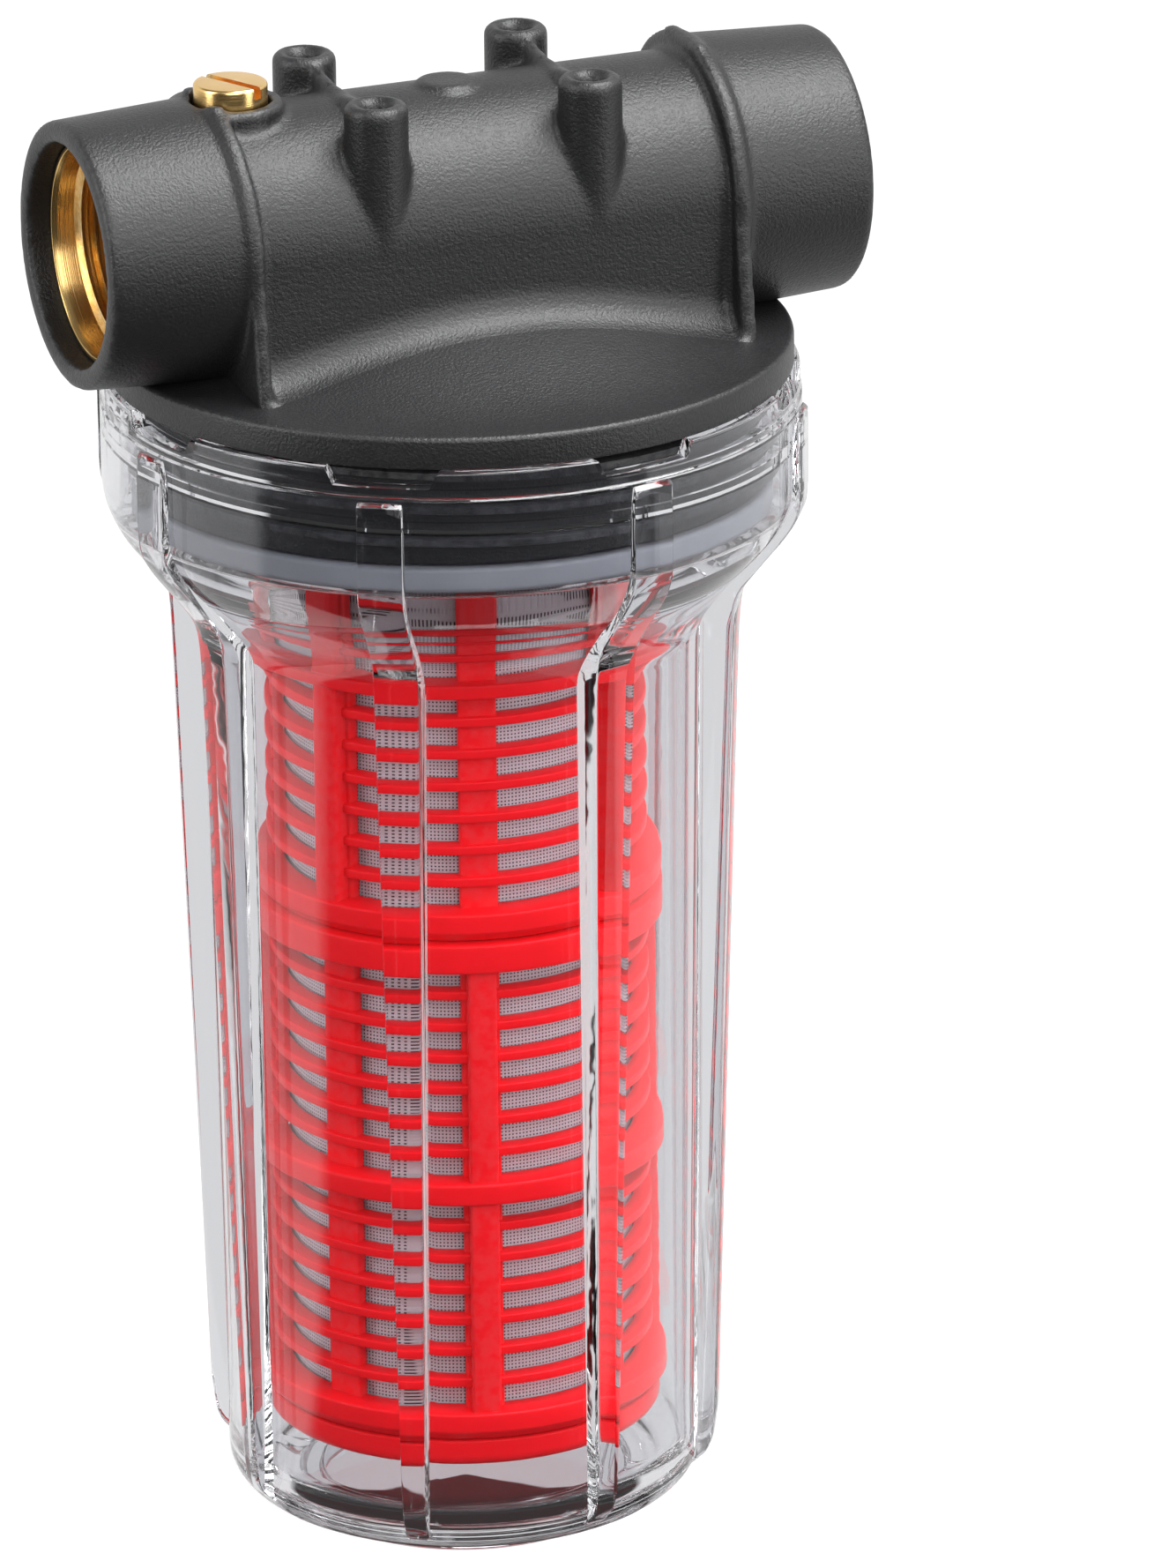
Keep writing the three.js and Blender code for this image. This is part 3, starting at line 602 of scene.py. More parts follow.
def makeMeshCloth():
    material, tree = newMaterial("wovenMesh")
    weave = useGroup(tree, wovenWire, Pitch=meshLook["pitch"], Radius=28.6)
    shader = addNode(tree, "ShaderNodeBsdfPrincipled", {
        # the holes between the wires take the gap colour, which is painted shade, not the wire's own colour
        "Base Color": mixedColour(tree, weave["Hole"], meshLook["wire"], meshLook["gap"]),
        "Roughness": lerped(tree, weave["Height"], 0.6, 0.4), "Metallic": 0.0,
        "Normal": bumped(tree, weave["Height"], meshLook["depth"])})
    surfaced(tree, shader)
    return material


def makeRubber(name, colour, rough, grainSize):
    material, tree = newMaterial(name)
    grain = useGroup(tree, mouldedGrain, Grain_Size=grainSize, Cloud_Size=8.0)
    base = mixedColour(tree, grain["Cloud"], tuple(v * 0.8 for v in colour), colour)
    shader = addNode(tree, "ShaderNodeBsdfPrincipled", {
        "Base Color": base, "Roughness": lerped(tree, grain["Fleck"], rough, rough + 0.12),
        "Normal": bumped(tree, grain["Height"], 0.02)})
    surfaced(tree, shader)
    return material


blackPlastic = makeBlackPlastic()
redPlastic = makeRedPlastic()
portBrass = makeBrass("turnedBrassAlongPipe", (1, 0, 0))
ventBrass = makeBrass("turnedBrassUpright", (0, 0, 1))
clearPlastic = makeClearPlastic()
meshCloth = makeMeshCloth()
blackRubber = makeRubber("blackSealRubber", (0.018, 0.018, 0.018), 0.55, 0.6)
whiteRubber = makeRubber("paleSealRubber", (0.20, 0.205, 0.22), 0.35, 0.8)
print("materials ready")

# the ridges that hold the bowl: on the neck, and inside the collar
thread = dict(pitch=5.4, sunk=0.3, proud=2.3, foot=2.75, crest=1.1, turns=2.5, start=2.6,
              collarSunk=1.6, collarProud=2.0, collarFoot=2.7, collarCrest=1.1, collarTurns=1.5,
              collarStart=5.3)
head = dict(
    domeRise=9, discThickness=5.2, discEdge=1.1, roofWall=3.6, neckRoot=51.5, neckInner=48.5,
    socketBore=21.3, socketWall=2.7, socketDepth=8, outletDuct=17, inletDuct=9, inletDuctX=-34,
    pipeRadius=20.8, portRadius=23, portFaceRadius=21.75, bore=14.5, ribX=42, ribThickness=2.5, ribProud=0.8,
    ribLand=13, ribFoot=26.6, fillet=6.5, bossRadius=5.2, bossX=18.55, bossY=15.7, bossHole=2.1, bossMouth=3.35,
    webThickness=2, gateRadius=4.8, gateProud=0.6, ventBossRadius=8.6, ventRecess=6.6, ventBossDrop=1.4,
    ventRecessDepth=4, ventHole=4.15, webDrop=6, webTopDrop=1.0, webLand=0.8,
    webRise=0.5, holeDepth=12, tabHalf=4, tabDepth=4, tabDrop=1.2, ductDrop=10, voxel=0.7, softening=2)
discTopZ = rimZ + seatGap + head["discThickness"]
discBottomZ = rimZ + seatGap
ventBossZ = bossTopZ - head["ventBossDrop"]


# the dome's height above the disc's edge at a distance from the centre
def domeZ(radius):
    share = min(radius / discRadius, 1)
    return discTopZ + head["domeRise"] * (1 - share ** 3) ** 2.8


def makeHeadDisc():
    roof = [(r, domeZ(r) - head["roofWall"]) for r in np.linspace(head["neckInner"], 24, 14)]
    dome = [(r, domeZ(r)) for r in np.linspace(discRadius - head["discEdge"] - 0.6, head["outletDuct"], 30)]
    socketTop = rimZ - 0.4 + head["socketDepth"] + seatGap
    disc = turned("headDisc", rounded([
        (head["neckInner"], neckEndZ, 0.5), (head["neckRoot"], neckEndZ, 0.6),
        (head["neckRoot"], discBottomZ, 0.4),
        (discRadius, discBottomZ, 0.35), (discRadius, discTopZ, head["discEdge"])] + dome + [
        (head["outletDuct"], socketTop), (head["socketBore"], socketTop, 0.3),
        (head["socketBore"], rimZ + 0.2, 0.4), (head["socketBore"] + head["socketWall"], rimZ + 0.2, 0.4),
        (head["socketBore"] + head["socketWall"], roof[-1][1], 1.0)] + roof[::-1]), 224)
    duct = shifted(rod("duct", head["inletDuct"], neckEndZ, pipeZ), x=head["inletDuctX"])
    combined(disc, [duct], "DIFFERENCE")
    ridge = helicalRidge("headThread", head["neckRoot"] - thread["sunk"], thread["proud"], thread["foot"],
                         thread["crest"], thread["pitch"], thread["turns"], neckEndZ + thread["start"])
    return finished(combined(disc, [ridge]), blackPlastic, "head")


# the pipe's skirt: upright walls that sweep out into the dome
def makeSkirt():
    stations = np.linspace(-head["ribX"], head["ribX"], 57)
    wall, fillet = head["pipeRadius"], head["fillet"]
    corners, sections = [], []
    for x in stations:
        foot = wall + fillet
        here = domeZ(math.hypot(x, foot))
        slope = (domeZ(math.hypot(x, foot + 0.1)) - domeZ(math.hypot(x, foot - 0.1))) / 0.2
        lean = math.atan(-slope)
        centre = (foot, here + fillet * math.sqrt(1 + slope * slope))
        side = [(wall, pipeZ), (wall, (pipeZ + centre[1]) / 2)]
        side += [polar(fillet, way, centre) for way in np.linspace(180, 270 - math.degrees(lean), 14)]
        last = side[-1]
        side.append((last[0] + 1.2, last[1] + 1.2 * slope - 0.35))
        under = [(y, domeZ(math.hypot(x, y)) - 1.8) for y in np.linspace(side[-1][0], 0, 8)]
        half = side + under
        outline = half + [(-y, z) for y, z in half[::-1][1:]]
        sections.append([len(corners) + k for k in range(len(outline))])
        corners += [(x, y, z) for y, z in outline]
    faces = [sections[0], sections[-1][::-1]]
    count = len(sections[0])
    for a, b in zip(sections, sections[1:]):
        faces += [[a[i], b[i], b[(i + 1) % count], a[(i + 1) % count]] for i in range(count)]
    return tidied(makePiece("skirt", corners, faces))


def polar(radius, degrees, centre=(0, 0)):
    return (centre[0] + radius * math.cos(rad(degrees)), centre[1] + radius * math.sin(rad(degrees)))


def acrossPipe(name, outline, x, thickness):
    return pushed(name, outline, x - thickness / 2, x + thickness / 2, lambda a, b, d: (d, a, b))


def makeRib(side):
    radius, land = head["portRadius"] + head["ribProud"], head["ribLand"] / 2
    start = math.degrees(math.asin(land / radius))
    top = math.sqrt(radius ** 2 - land ** 2) + head["ribProud"]
    right = [polar(radius, way, (0, pipeZ)) for way in np.linspace(-4, 90 - start, 24)]
    half = [(head["ribFoot"], discTopZ - 1.2)] + right + [(land, pipeZ + top)]
    outline = half + [(-y, z) for y, z in half[::-1]]
    return acrossPipe("rib", outline, side * head["ribX"], head["ribThickness"])


def makePort(side):
    end, start = portX, head["ribX"] - 0.5
    port = turned("port", rounded([(0, start), (head["portRadius"], start), (head["portFaceRadius"], end, 1.0),
                                   (0, end)]), 128)
    port = alongPipe(port)
    return port if side > 0 else spun(port, 180)


def bossPlaces():
    return [(a * head["bossX"], b * head["bossY"]) for a in (-1, 1) for b in (-1, 1)]


def makeHeadPipe():
    pipe = alongPipe(rod("headPipe", head["pipeRadius"], -head["ribX"], head["ribX"], steps=128))
    parts = [makeSkirt(), makePort(-1), makePort(1), makeRib(-1), makeRib(1)]
    pipeTop = pipeZ + head["pipeRadius"]
    reach = head["bossY"] - head["bossRadius"] + 0.8
    foot, dip, top = pipeTop - head["webDrop"], pipeTop + head["webRise"], bossTopZ - head["webTopDrop"]
    land = head["webLand"]
    web = [(-reach, foot), (reach, foot), (reach, top), (land, dip), (-land, dip), (-reach, top)]
    parts += [acrossPipe("web", web, a * head["bossX"], head["webThickness"]) for a in (-1, 1)]
    for x, y in bossPlaces():
        parts.append(shifted(rod("boss", head["bossRadius"], pipeZ - 1, bossTopZ, 1.3), x=x, y=y))
    parts.append(shifted(rod("ventBoss", head["ventBossRadius"], pipeZ, ventBossZ, 0.9), x=ventX))
    half, tabTop = head["tabHalf"], ventBossZ - head["tabDrop"]
    tab = [(-half, pipeZ), (half, pipeZ), (half, tabTop), (-half, tabTop)]
    parts.append(acrossPipe("tab", tab, ventX - head["ventBossRadius"], head["tabDepth"]))
    parts.append(rod("gate", head["gateRadius"], pipeZ, pipeTop + head["gateProud"], 0.3))
    combined(pipe, parts)
    pocketEnd = -insertHigh[0] - seatGap
    cuts = []
    for side in (-1, 1):
        pocket = rod("pocket", insertHigh[1] + seatGap, pocketEnd, portX + 2)
        cuts.append(spun(alongPipe(pocket), 0 if side > 0 else 180))
    cuts.append(alongPipe(rod("inletBore", head["bore"], -portX, head["inletDuctX"] + head["inletDuct"])))
    cuts.append(alongPipe(rod("outletBore", head["bore"], 0, portX)))
    ductEnd = discTopZ - head["ductDrop"]
    cuts.append(rod("outletDuct", head["outletDuct"], ductEnd, pipeZ))
    cuts.append(shifted(rod("inletDuct", head["inletDuct"], ductEnd, pipeZ), x=head["inletDuctX"]))
    flare = head["bossMouth"] - head["bossHole"]
    holeEnd = bossTopZ - head["holeDepth"]
    for x, y in bossPlaces():
        hole = turned("hole", [(0, holeEnd), (head["bossHole"], holeEnd), (head["bossHole"], bossTopZ - flare),
                               (head["bossMouth"] + 1, bossTopZ + 1), (0, bossTopZ + 1)], 48)
        cuts.append(shifted(hole, x=x, y=y))
    ventFloor = ventBossZ - head["ventRecessDepth"]
    cuts.append(shifted(rod("recess", head["ventRecess"], ventFloor, bossTopZ + 3), x=ventX))
    cuts.append(shifted(rod("ventHole", head["ventHole"], pipeZ, ventFloor + 1), x=ventX))
    under = [(r, domeZ(r) - 1.5) for r in np.linspace(discRadius - 1, 0, 24)]
    cuts.append(turned("under", [(0, neckEndZ), (discRadius - 1, neckEndZ)] + under, 96))
    combined(pipe, cuts, "DIFFERENCE")
    skin = pipe.modifiers.new("skin", "REMESH")
    skin.mode = "VOXEL"
    skin.voxel_size = head["voxel"] * mm
    soft = pipe.modifiers.new("soft", "SMOOTH")
    soft.factor = 0.5
    soft.iterations = head["softening"]
    baked(pipe)
    return finished(pipe, blackPlastic, "head", ["head"], sharp=60)


makeHeadDisc()
makeHeadPipe()
print("head ready")

insert = dict(waist=0.8, mouth=17, major=16.62, minor=15.15, pitch=2.309)


def makeInsert(side):
    low, high = -insertHigh[0], -insertLow[0]
    outer, waist = insertHigh[1], insertHigh[1] - insert["waist"]
    third = (high - low) / 3
    step = insert["mouth"] - insert["minor"]
    body = turned("insertBody", rounded([
        (insert["major"], low, 0.2), (outer, low, 0.4), (outer, low + third, 0.2), (waist, low + third + 0.8),
        (waist, high - third - 0.8), (outer, high - third, 0.2), (outer, high, 0.4),
        (insert["mouth"] + 0.2, high, 0.2),
        (insert["major"], high - step + 0.5)]), 160)
    turns = int((high - low - step - 0.6) / insert["pitch"])
    ridge = helicalRidge("insertThread", insert["minor"], insert["major"] - insert["minor"] + 0.35, 0.45, 2.1,
                         insert["pitch"], turns, low + 1.2, 72)
    whole = alongPipe(gathered("inletBrass" if side < 0 else "outletBrass", [body, ridge]))
    if side < 0:
        spun(whole, 180)
    node = "inlet_insert" if side < 0 else "outlet_insert"
    return finished(whole, portBrass, "head", [node])


makeInsert(-1)
makeInsert(1)

vent = dict(shank=3.55, crest=3.8, pitch=1.25, slotWidth=1.5, slotDepth=1.9, slotTurn=-64, headHeight=5.2)


def makeVentScrew():
    low, high = ventLow[2], ventHigh[2]
    seat, radius = high - vent["headHeight"], (ventHigh[0] - ventLow[0]) / 2
    body = turned("ventBrass", rounded([
        (0, low), (vent["shank"] - 0.7, low, 0.2), (vent["shank"], low + 0.9), (vent["shank"], seat, 0.2),
        (radius, seat, 0.3), (radius, high, 0.6), (radius * 0.35, high), (0, high + 0.02)]), 128)
    floor, reach, half = high - vent["slotDepth"], 1.5 * radius, vent["slotWidth"] / 2
    slot = pushed("slot", [(-reach, floor), (reach, floor), (reach, high + 2), (-reach, high + 2)],
                  -half, half, lambda a, b, d: (a, d, b))
    combined(body, [spun(slot, vent["slotTurn"])], "DIFFERENCE")
    turns = (seat - low - 1.8) / vent["pitch"]
    ridge = helicalRidge("ventThread", vent["shank"] - 0.1, vent["crest"] - vent["shank"] + 0.1, 0.9, 0.2,
                         vent["pitch"], turns, low + 0.9, 48)
    whole = shifted(gathered("ventScrewBrass", [body, ridge]), x=ventX)
    return finished(whole, ventBrass, "vent_screw", ["vent_screw"])


# a seal with a round section that fills the node's own height
def makeSealRing(name, low, high, inner, outer, x=0, material=None, body="", node="", steps=128):
    half = (high - low) / 2
    wide = (outer - inner) / 2
    section = [((inner + outer) / 2 + wide * math.cos(t), (low + high) / 2 + half * math.sin(t))
               for t in np.linspace(0, math.tau, 25)[:-1]]
    return finished(shifted(turned(name, section, steps), x=x), material, body, [node])


makeVentScrew()
makeSealRing("ventSealRing", ventSealLow[2], ventSealHigh[2], vent["crest"] + 0.35,
             (ventSealHigh[0] - ventSealLow[0]) / 2, ventX, blackRubber, "vent_seal",
             "vent_seal", 64)
print("fittings ready")

bowl = dict(
    wall=3, bodyTop=41.5, bodyFoot=39.6, corner=11, foot=27.5, footWall=3, footHeight=4, collar=57.3,
    collarWall=3.1, bodyEnd=158, ledge=47.5, finCount=8, finStart=11.5, finTopWidth=7.5, finFootWidth=3.7,
    finProud=5.2, ribProud=1.2, bandHeight=4.7, bandInset=0.35, notchWidth=18, notchDepth=2.7)
ledgeZ = bowlSealLow[2] - seatGap
bandZ = rimZ - bowl["bandHeight"]


# the collar's outside from the body up, moved inwards by an inset
def shoulder(inset=0.0):
    end, reach = bowl["bodyEnd"], bowl["collar"] - bowl["bodyTop"]
    shares = [(0, -4), (0.02, -0.4), (0.16, 3.4), (0.43, 8.6), (0.68, 12.8), (0.86, 16.6), (0.97, 20.6),
              (1, 24)]
    places = [(bowl["bodyTop"] + reach * share - inset, end + rise + inset * 0.4) for share, rise in shares]
    return eased(places, 5)


def makeBowlShell():
    inner = bowl["bodyTop"] - bowl["wall"]
    end, reach = bowl["bodyEnd"], bowl["ledge"] - inner
    collarInner = bowl["collar"] - bowl["collarWall"]
    floor = bowl["footHeight"] + bowl["wall"]
    inside = eased([(bowl["ledge"], end + 14.5), (bowl["ledge"] - reach * 0.1, end + 11.4),
                    (bowl["ledge"] - reach * 0.5, end + 6.4), (inner + reach * 0.1, end + 1.2),
                    (inner + 0.05, end - 3)], 5)
    outline = rounded([(0, bowl["footHeight"]), (bowl["foot"] - bowl["footWall"], bowl["footHeight"], 0.6),
                       (bowl["foot"] - bowl["footWall"], 0, 0.5), (bowl["foot"], 0, 0.7),
                       (bowl["foot"], bowl["footHeight"], 0.8),
                       (bowl["bodyFoot"], bowl["footHeight"], bowl["corner"])] + shoulder() + [
                       (bowl["collar"], bandZ, 0.2), (bowl["collar"] - bowl["bandInset"], bandZ + 0.3, 0.2),
                       (bowl["collar"] - bowl["bandInset"], rimZ, 0.5), (collarInner, rimZ, 0.4),
                       (collarInner, ledgeZ, 0.5), (bowl["ledge"], ledgeZ, 0.6)] + inside + [
                       (bowl["bodyFoot"] - bowl["wall"], floor, bowl["corner"] - bowl["wall"]), (0, floor)], 8)
    return turned("bowlShell", outline, 192)


def makeBowlFin():
    foot, proud, half = bowl["footHeight"], bowl["finProud"], bowl["wall"] / 2
    rib = bowl["collar"] + bowl["ribProud"]
    outer = eased([(bowl["bodyFoot"] - 4.3, foot + 0.6), (bowl["bodyFoot"] + 0.2, foot + 4.1),
                   (bowl["bodyFoot"] + 2.6, foot + 7.2), (bowl["bodyFoot"] + 3.6, foot + 14)], 4)
    side, end = bowl["bodyTop"] + proud, bowl["bodyEnd"]
    outer += eased([(side, end - 12), (side + 0.5, end), (side + 1.6, end + 5.2),
                    (bowl["bodyTop"] + 9.9, end + 9.6), (bowl["collar"] - 1.6, end + 15),
                    (rib - 0.5, end + 19), (rib, end + 23)], 4)
    outline = [(bowl["foot"] - 0.3, foot * 0.6), (bowl["foot"] + 2, foot * 0.6)] + outer + [
        (rib, bandZ - 0.9), (rib - 0.9, bandZ)]
    outline += [(r, z) for r, z in shoulder(half)[::-1]]
    outline += [(bowl["bodyFoot"] - half, foot + bowl["corner"]),
                polar(bowl["corner"] - half, -45, (bowl["bodyFoot"] - bowl["corner"], foot + bowl["corner"])),
                (bowl["bodyFoot"] - bowl["corner"], foot + half), (bowl["foot"] - 0.3, foot + half)]

    def place(a, b, depth):
        share = min(max(b / bowl["bodyEnd"], 0), 1)
        width = bowl["finFootWidth"] + (bowl["finTopWidth"] - bowl["finFootWidth"]) * share
        return (a, depth * width, b)

    fin = pushed("fin", outline, -0.5, 0.5, place)
    edge = fin.modifiers.new("edge", "BEVEL")
    edge.width = 0.45 * mm
    edge.segments = 2
    edge.limit_method = "ANGLE"
    edge.angle_limit = rad(50)
    return baked(fin)


def makeBowl():
    shell = makeBowlShell()
    fins = around(makeBowlFin(), bowl["finCount"], bowl["finStart"])
    low, high = rimZ - bowl["notchDepth"], rimZ + 2
    half = bowl["notchWidth"] / 2
    outline = [(-half + 1.2, low), (half - 1.2, low), (half + 1.2, high), (-half - 1.2, high)]
    notch = pushed("notch", outline, 50, 62, lambda a, b, d: (d, a, b))
    notches = around(notch, bowl["finCount"], bowl["finStart"])
    collarInner = bowl["collar"] - bowl["collarWall"]
    ridge = helicalRidge("bowlThread", collarInner - thread["collarSunk"], thread["collarProud"],
                         thread["collarCrest"], thread["collarFoot"], thread["pitch"], thread["collarTurns"],
                         neckEndZ + thread["collarStart"])
    combined(shell, [ridge, fins])
    combined(shell, [notches], "DIFFERENCE")
    shell.name = "clearBowl"
    return finished(shell, clearPlastic, "bowl", ["bowl"], sharp=28)


makeBowl()


def makeBowlSeal():
    outline = rounded([(48.8, bowlSealLow[2], 0.8), (bowlSealHigh[0], bowlSealLow[2], 0.8),
                       (bowlSealHigh[0], bowlSealHigh[2], 0.8), (48.8, bowlSealHigh[2], 0.8)])
    return finished(turned("bowlSealRing", outline, 192), whiteRubber, "bowl", ["bowl_seal"])


makeBowlSeal()
print("bowl ready")

cartridge = dict(
    inside=29.2, bar=31, fin=32, band=34.3, bandHeight=5, midBand=3.8, plate=2.4, rows=7, finHeight=1.6,
    barCount=8, barWidth=6.2, outerBars=4, outerBar=33.6, outerBarWidth=4.6, outerTurn=29.5, bore=21.3,
    boreSleeve=2.3, boreSleeveHeight=9.4, neck=20.6, neckHeight=8, neckBore=16.4, grooveDepth=2.2,
    grooveHeight=3.1, grooveDrop=2, meshThickness=0.6)


def uprightBar(name, inner, outer, width, low, high):
    half = width / 2
    outline = rounded([(inner, -half), (outer, -half, 0.5), (outer, half, 0.5), (inner, half)], 3)
    return pushed(name, outline, low, high, lambda a, b, d: (a, b, d))


def makeFrame(name, node, low, high, turn):
    c = cartridge
    top = high - c["neckHeight"]
    middle = (low + top) / 2
    half = c["midBand"] / 2
    grooveTop = high - c["grooveDrop"]
    parts = [
        turned("lowerBand", rounded([
            (c["bore"], low, 0.3), (c["band"] - 1.6, low, 0.5), (c["band"], low + 1.8, 0.8),
            (c["band"], low + c["bandHeight"], 0.5), (c["inside"], low + c["bandHeight"], 0.3),
            (c["inside"], low + c["plate"], 0.3), (c["bore"] + c["boreSleeve"], low + c["plate"], 0.3),
            (c["bore"] + c["boreSleeve"], low + c["boreSleeveHeight"], 0.3),
            (c["bore"], low + c["boreSleeveHeight"], 0.3)])),
        ring("middleBand", c["band"], c["inside"], middle - half, middle + half, 0.6),
        turned("upperBand", rounded([
            (c["inside"], top - c["bandHeight"], 0.3), (c["band"] + 0.2, top - c["bandHeight"], 0.5),
            (c["band"] + 0.2, top, 0.5), (c["neck"], top, 0.5), (c["neck"], grooveTop - c["grooveHeight"], 0.2),
            (c["neck"] - c["grooveDepth"], grooveTop - c["grooveHeight"], 0.2),
            (c["neck"] - c["grooveDepth"], grooveTop, 0.2), (c["neck"], grooveTop, 0.2), (c["neck"], high, 0.7),
            (c["neckBore"], high, 0.4), (c["neckBore"], top - c["plate"], 0.3),
            (c["inside"], top - c["plate"], 0.3)])),
    ]
    bay = (top - low - 2 * c["bandHeight"] - c["midBand"]) / 2
    pitch = (bay + c["finHeight"]) / c["rows"]
    for start in (low + c["bandHeight"], middle + half):
        z = start + pitch
        fin = ring("fin", c["fin"], c["inside"], z - c["finHeight"], z, 0.35, 144)
        parts.append(stacked(fin, c["rows"] - 1, pitch))
    bar = uprightBar("bar", c["inside"], c["bar"], c["barWidth"], low + 1, top - 1)
    parts.append(around(bar, c["barCount"], turn))
    outer = uprightBar("outerBar", c["bar"] - 0.3, c["outerBar"], c["outerBarWidth"], low + 1, top - 1)
    parts.append(around(outer, c["outerBars"], turn))
    frameWhole = gathered(name, parts)
    return finished(frameWhole, redPlastic, "cartridge", [node])


def makeSleeve(name, node):
    low, high = nodeSpan(node)
    sleeve = ring(name, high[1], high[1] - cartridge["meshThickness"], low[2], high[2], 0.1)
    return finished(sleeve, meshCloth, "cartridge", [node])


def makeCap():
    c, low, high = cartridge, capLow[2], capHigh[2]
    edge = high - c["neckHeight"]
    outline = rounded([
        (0, low), (capHigh[1], low, 2.2), (capHigh[1], edge, 0.4), (capHigh[1] - 2.2, edge, 0.3),
        (capHigh[1] - 2.2, low + c["plate"], 0.8), (c["neck"], low + c["plate"], 0.5), (c["neck"], high, 0.7),
        (c["neckBore"] + 1, high, 0.4), (c["neckBore"] + 1, low + c["plate"], 0.5), (0, low + c["plate"])])
    cap = turned("cartridgeFootCap", outline)
    return finished(cap, redPlastic, "cartridge", ["cartridge_cap"])


upperTurn = cartridge["outerTurn"]
makeFrame("upperFrame", "cartridge_upper_frame", nodeSpan("cartridge_upper_frame")[0][2],
          nodeSpan("cartridge_upper_frame")[1][2], upperTurn)
makeFrame("lowerFrame", "cartridge_lower_frame", nodeSpan("cartridge_lower_frame")[0][2],
          nodeSpan("cartridge_lower_frame")[1][2], upperTurn - 45)
makeSleeve("upperMeshSleeve", "cartridge_upper_mesh")
makeSleeve("lowerMeshSleeve", "cartridge_lower_mesh")
makeCap()
for node, name in (("cartridge_top_seal", "topSealRing"), ("cartridge_joint_seal", "jointSealRing")):
    low, high = nodeSpan(node)
    makeSealRing(name, low[2], high[2], cartridge["neck"] - cartridge["grooveDepth"] + seatGap, high[1], 0,
                 blackRubber, "cartridge", node)
print("cartridge ready")

view = dict(azimuth=-21.91, elevation=20.24, distance=1.9176, aimHeight=0.125, yaw=-0.65, pitch=0.02, roll=0.78,
            lens=266.7)


def makeCamera():
    turn, rise = rad(view["azimuth"]), rad(view["elevation"])
    back = Vector((math.sin(turn) * math.cos(rise), -math.cos(turn) * math.cos(rise), math.sin(rise)))
    right = Vector((math.cos(turn), math.sin(turn), 0))
    ahead = -back
    up = right.cross(ahead)
    for axis, degrees in (("up", view["yaw"]), ("right", view["pitch"]), ("ahead", view["roll"])):
        about = {"up": up, "right": right, "ahead": ahead}[axis]
        swing = Matrix.Rotation(rad(degrees), 3, about)
        right, up, ahead = swing @ right, swing @ up, swing @ ahead
    lens = bpy.data.cameras.new("viewLens")
    lens.lens = view["lens"]
    lens.sensor_width = 36
    lens.clip_start, lens.clip_end = 0.1, 50
    camera = bpy.data.objects.new("viewCamera", lens)
    scene.collection.objects.link(camera)
    place = Vector((0, 0, view["aimHeight"])) + back * view["distance"]
    camera.matrix_world = Matrix.Translation(place) @ Matrix((right, up, -ahead)).transposed().to_4x4()
    scene.camera = camera


stage = dict(radius=6.0, bend=1.2, colour=(0.12, 0.12, 0.12), glow=0.9, sky=(1, 1, 1), skyStrength=0.22,
             gap=0.3, frontHalf=64, frontGlow=0.04, sideGlow=0.9)


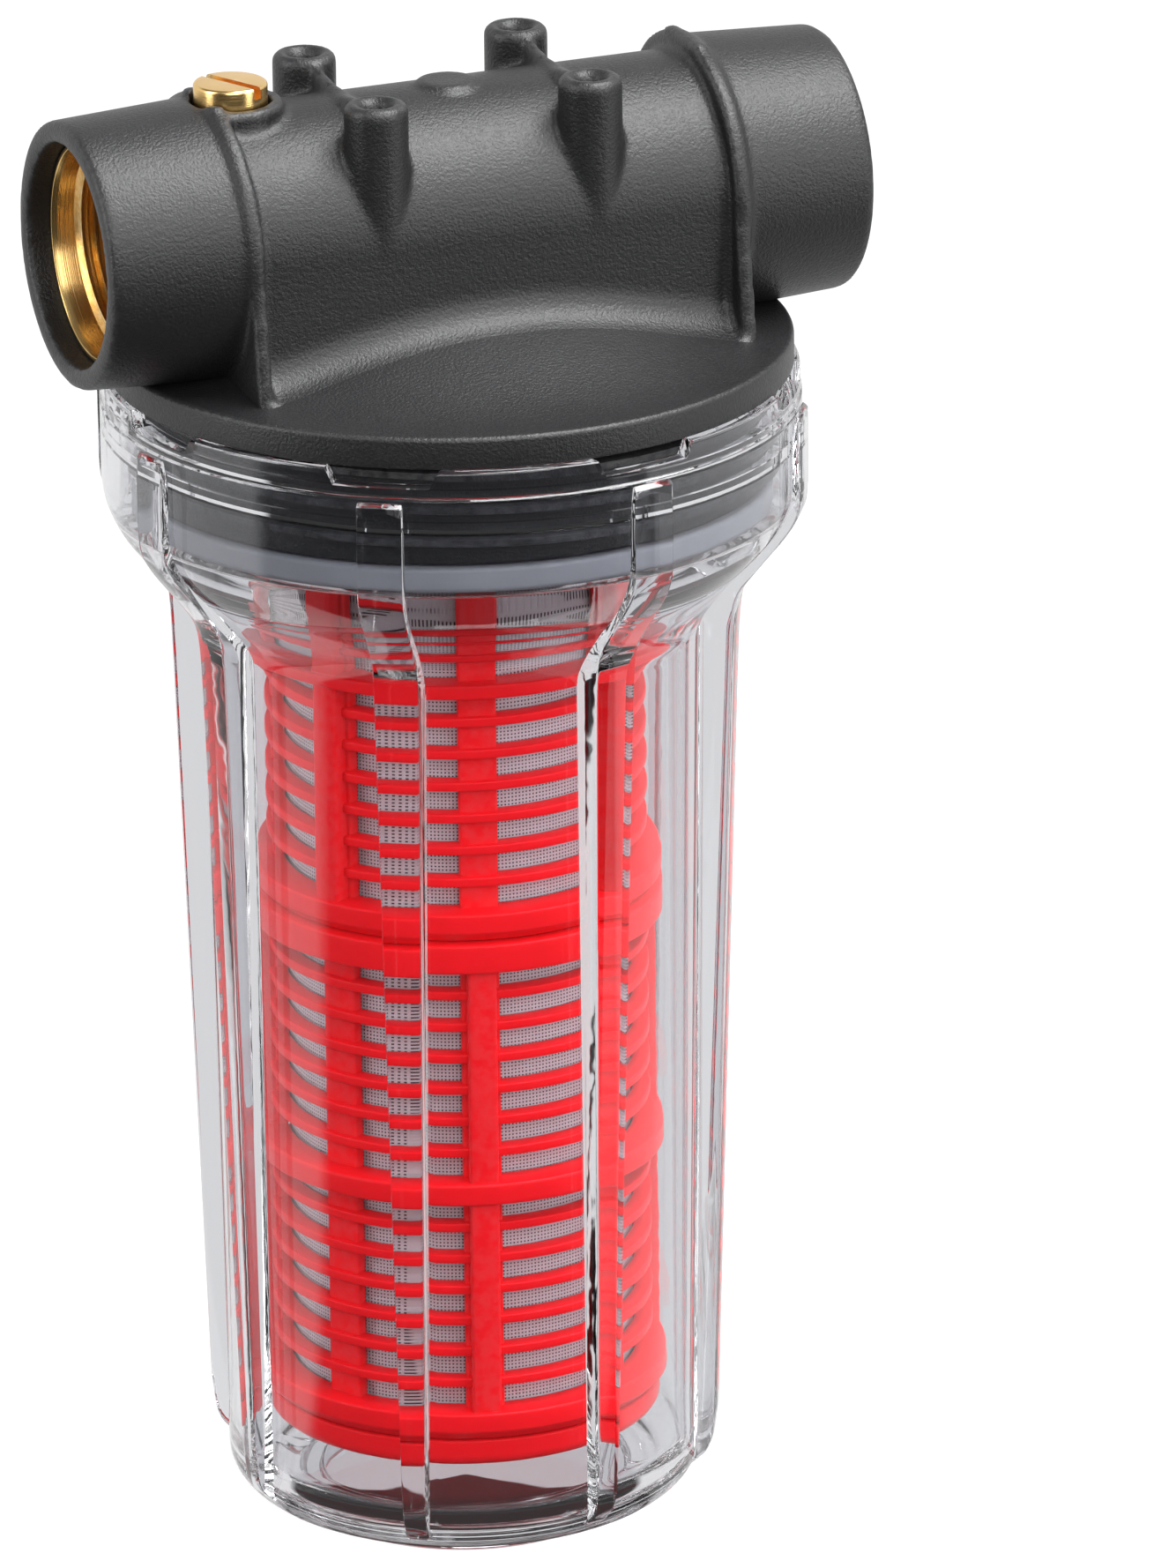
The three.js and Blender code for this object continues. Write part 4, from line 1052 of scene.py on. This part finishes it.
# a round floor that turns up into a wall on every side
def makeStage():
    flat, bend = stage["radius"], stage["bend"]
    profile = [(0, 0), (flat * 0.5, 0), (flat, 0)]
    for way in np.linspace(0, math.pi / 2, 9)[1:]:
        profile.append((flat + bend * math.sin(way), bend - bend * math.cos(way)))
    profile.append((flat + bend, 6.0))
    floorZ = -stage["gap"]
    corners, faces, steps = [(0, 0, floorZ)], [], 64
    for radius, height in profile[1:]:
        corners += [(radius / mm * math.cos(math.tau * i / steps), radius / mm * math.sin(math.tau * i / steps),
                     height / mm + floorZ) for i in range(steps)]
    for i in range(steps):
        k = (i + 1) % steps
        faces.append([0, 1 + i, 1 + k])
        for level in range(len(profile) - 2):
            a, b = 1 + level * steps, 1 + (level + 1) * steps
            faces.append([a + i, b + i, b + k, a + k])
    floor = makePiece("studioFloor", corners, faces)
    floor.data.shade_smooth()
    material, tree = newMaterial("palePaper")
    paper = addNode(tree, "ShaderNodeBsdfPrincipled",
                    {"Base Color": (*stage["colour"], 1), "Roughness": 0.9, "Specular IOR Level": 0.1,
                     "Emission Color": (1, 1, 1, 1), "Emission Strength": stage["glow"]})
    # shiny surfaces mirror a dark front and bright sides
    turn = rad(view["azimuth"])
    way = addNode(tree, "ShaderNodeVectorMath", {0: placeIn(tree)}, operation="NORMALIZE").outputs[0]
    ahead = addNode(tree, "ShaderNodeVectorMath", {0: way, 1: (math.sin(turn), -math.cos(turn), 0)},
                    operation="DOT_PRODUCT").outputs["Value"]
    edge = math.cos(rad(stage["frontHalf"]))
    mirrored = addNode(tree, "ShaderNodeMapRange", {
        "Value": ahead, "From Min": edge - 0.03, "From Max": edge + 0.03, "To Min": stage["sideGlow"],
        "To Max": stage["frontGlow"]})
    panels = addNode(tree, "ShaderNodeEmission", {"Strength": mirrored.outputs[0]})
    path = addNode(tree, "ShaderNodeLightPath")
    surfaced(tree, addNode(tree, "ShaderNodeMixShader", {0: path.outputs["Is Glossy Ray"], 1: paper.outputs[0],
                                                         2: panels.outputs[0]}))
    floor.data.materials.append(material)
    world = bpy.data.worlds.new("softSky")
    world.use_nodes = True
    world.node_tree.nodes["Background"].inputs[0].default_value = (*stage["sky"], 1)
    world.node_tree.nodes["Background"].inputs[1].default_value = stage["skyStrength"]
    scene.world = world


lamps = [  # turn from the camera, rise, distance, width, height, power
    dict(name="leftBox", turn=-66, rise=24, distance=1.1, width=0.4, height=1.1, power=7),
    dict(name="rightBox", turn=58, rise=18, distance=1.1, width=0.3, height=1.1, power=5.5),
    dict(name="topBox", turn=82, rise=66, distance=1.2, width=0.8, height=0.8, power=27),
    dict(name="frontFill", turn=12, rise=34, distance=1.3, width=0.9, height=0.9, power=10),
]


def makeLamps():
    aim = Vector((0, 0, 0.14))
    for lamp in lamps:
        turn, rise = rad(view["azimuth"] + lamp["turn"]), rad(lamp["rise"])
        way = Vector((math.sin(turn) * math.cos(rise), -math.cos(turn) * math.cos(rise), math.sin(rise)))
        light = bpy.data.lights.new(lamp["name"], "AREA")
        light.shape = "RECTANGLE"
        light.size, light.size_y = lamp["width"], lamp["height"]
        light.energy = lamp["power"]
        body = bpy.data.objects.new(lamp["name"], light)
        scene.collection.objects.link(body)
        facing = way.to_track_quat("Z", "Y").to_matrix().to_4x4()
        body.matrix_world = Matrix.Translation(aim + way * lamp["distance"]) @ facing


makeCamera()
makeStage()
makeLamps()
scene.view_settings.view_transform = "Standard"
scene.cycles.transmission_bounces = 32
scene.cycles.transparent_max_bounces = 32
scene.cycles.max_bounces = 40
scene.cycles.glossy_bounces = 16
print("studio ready")
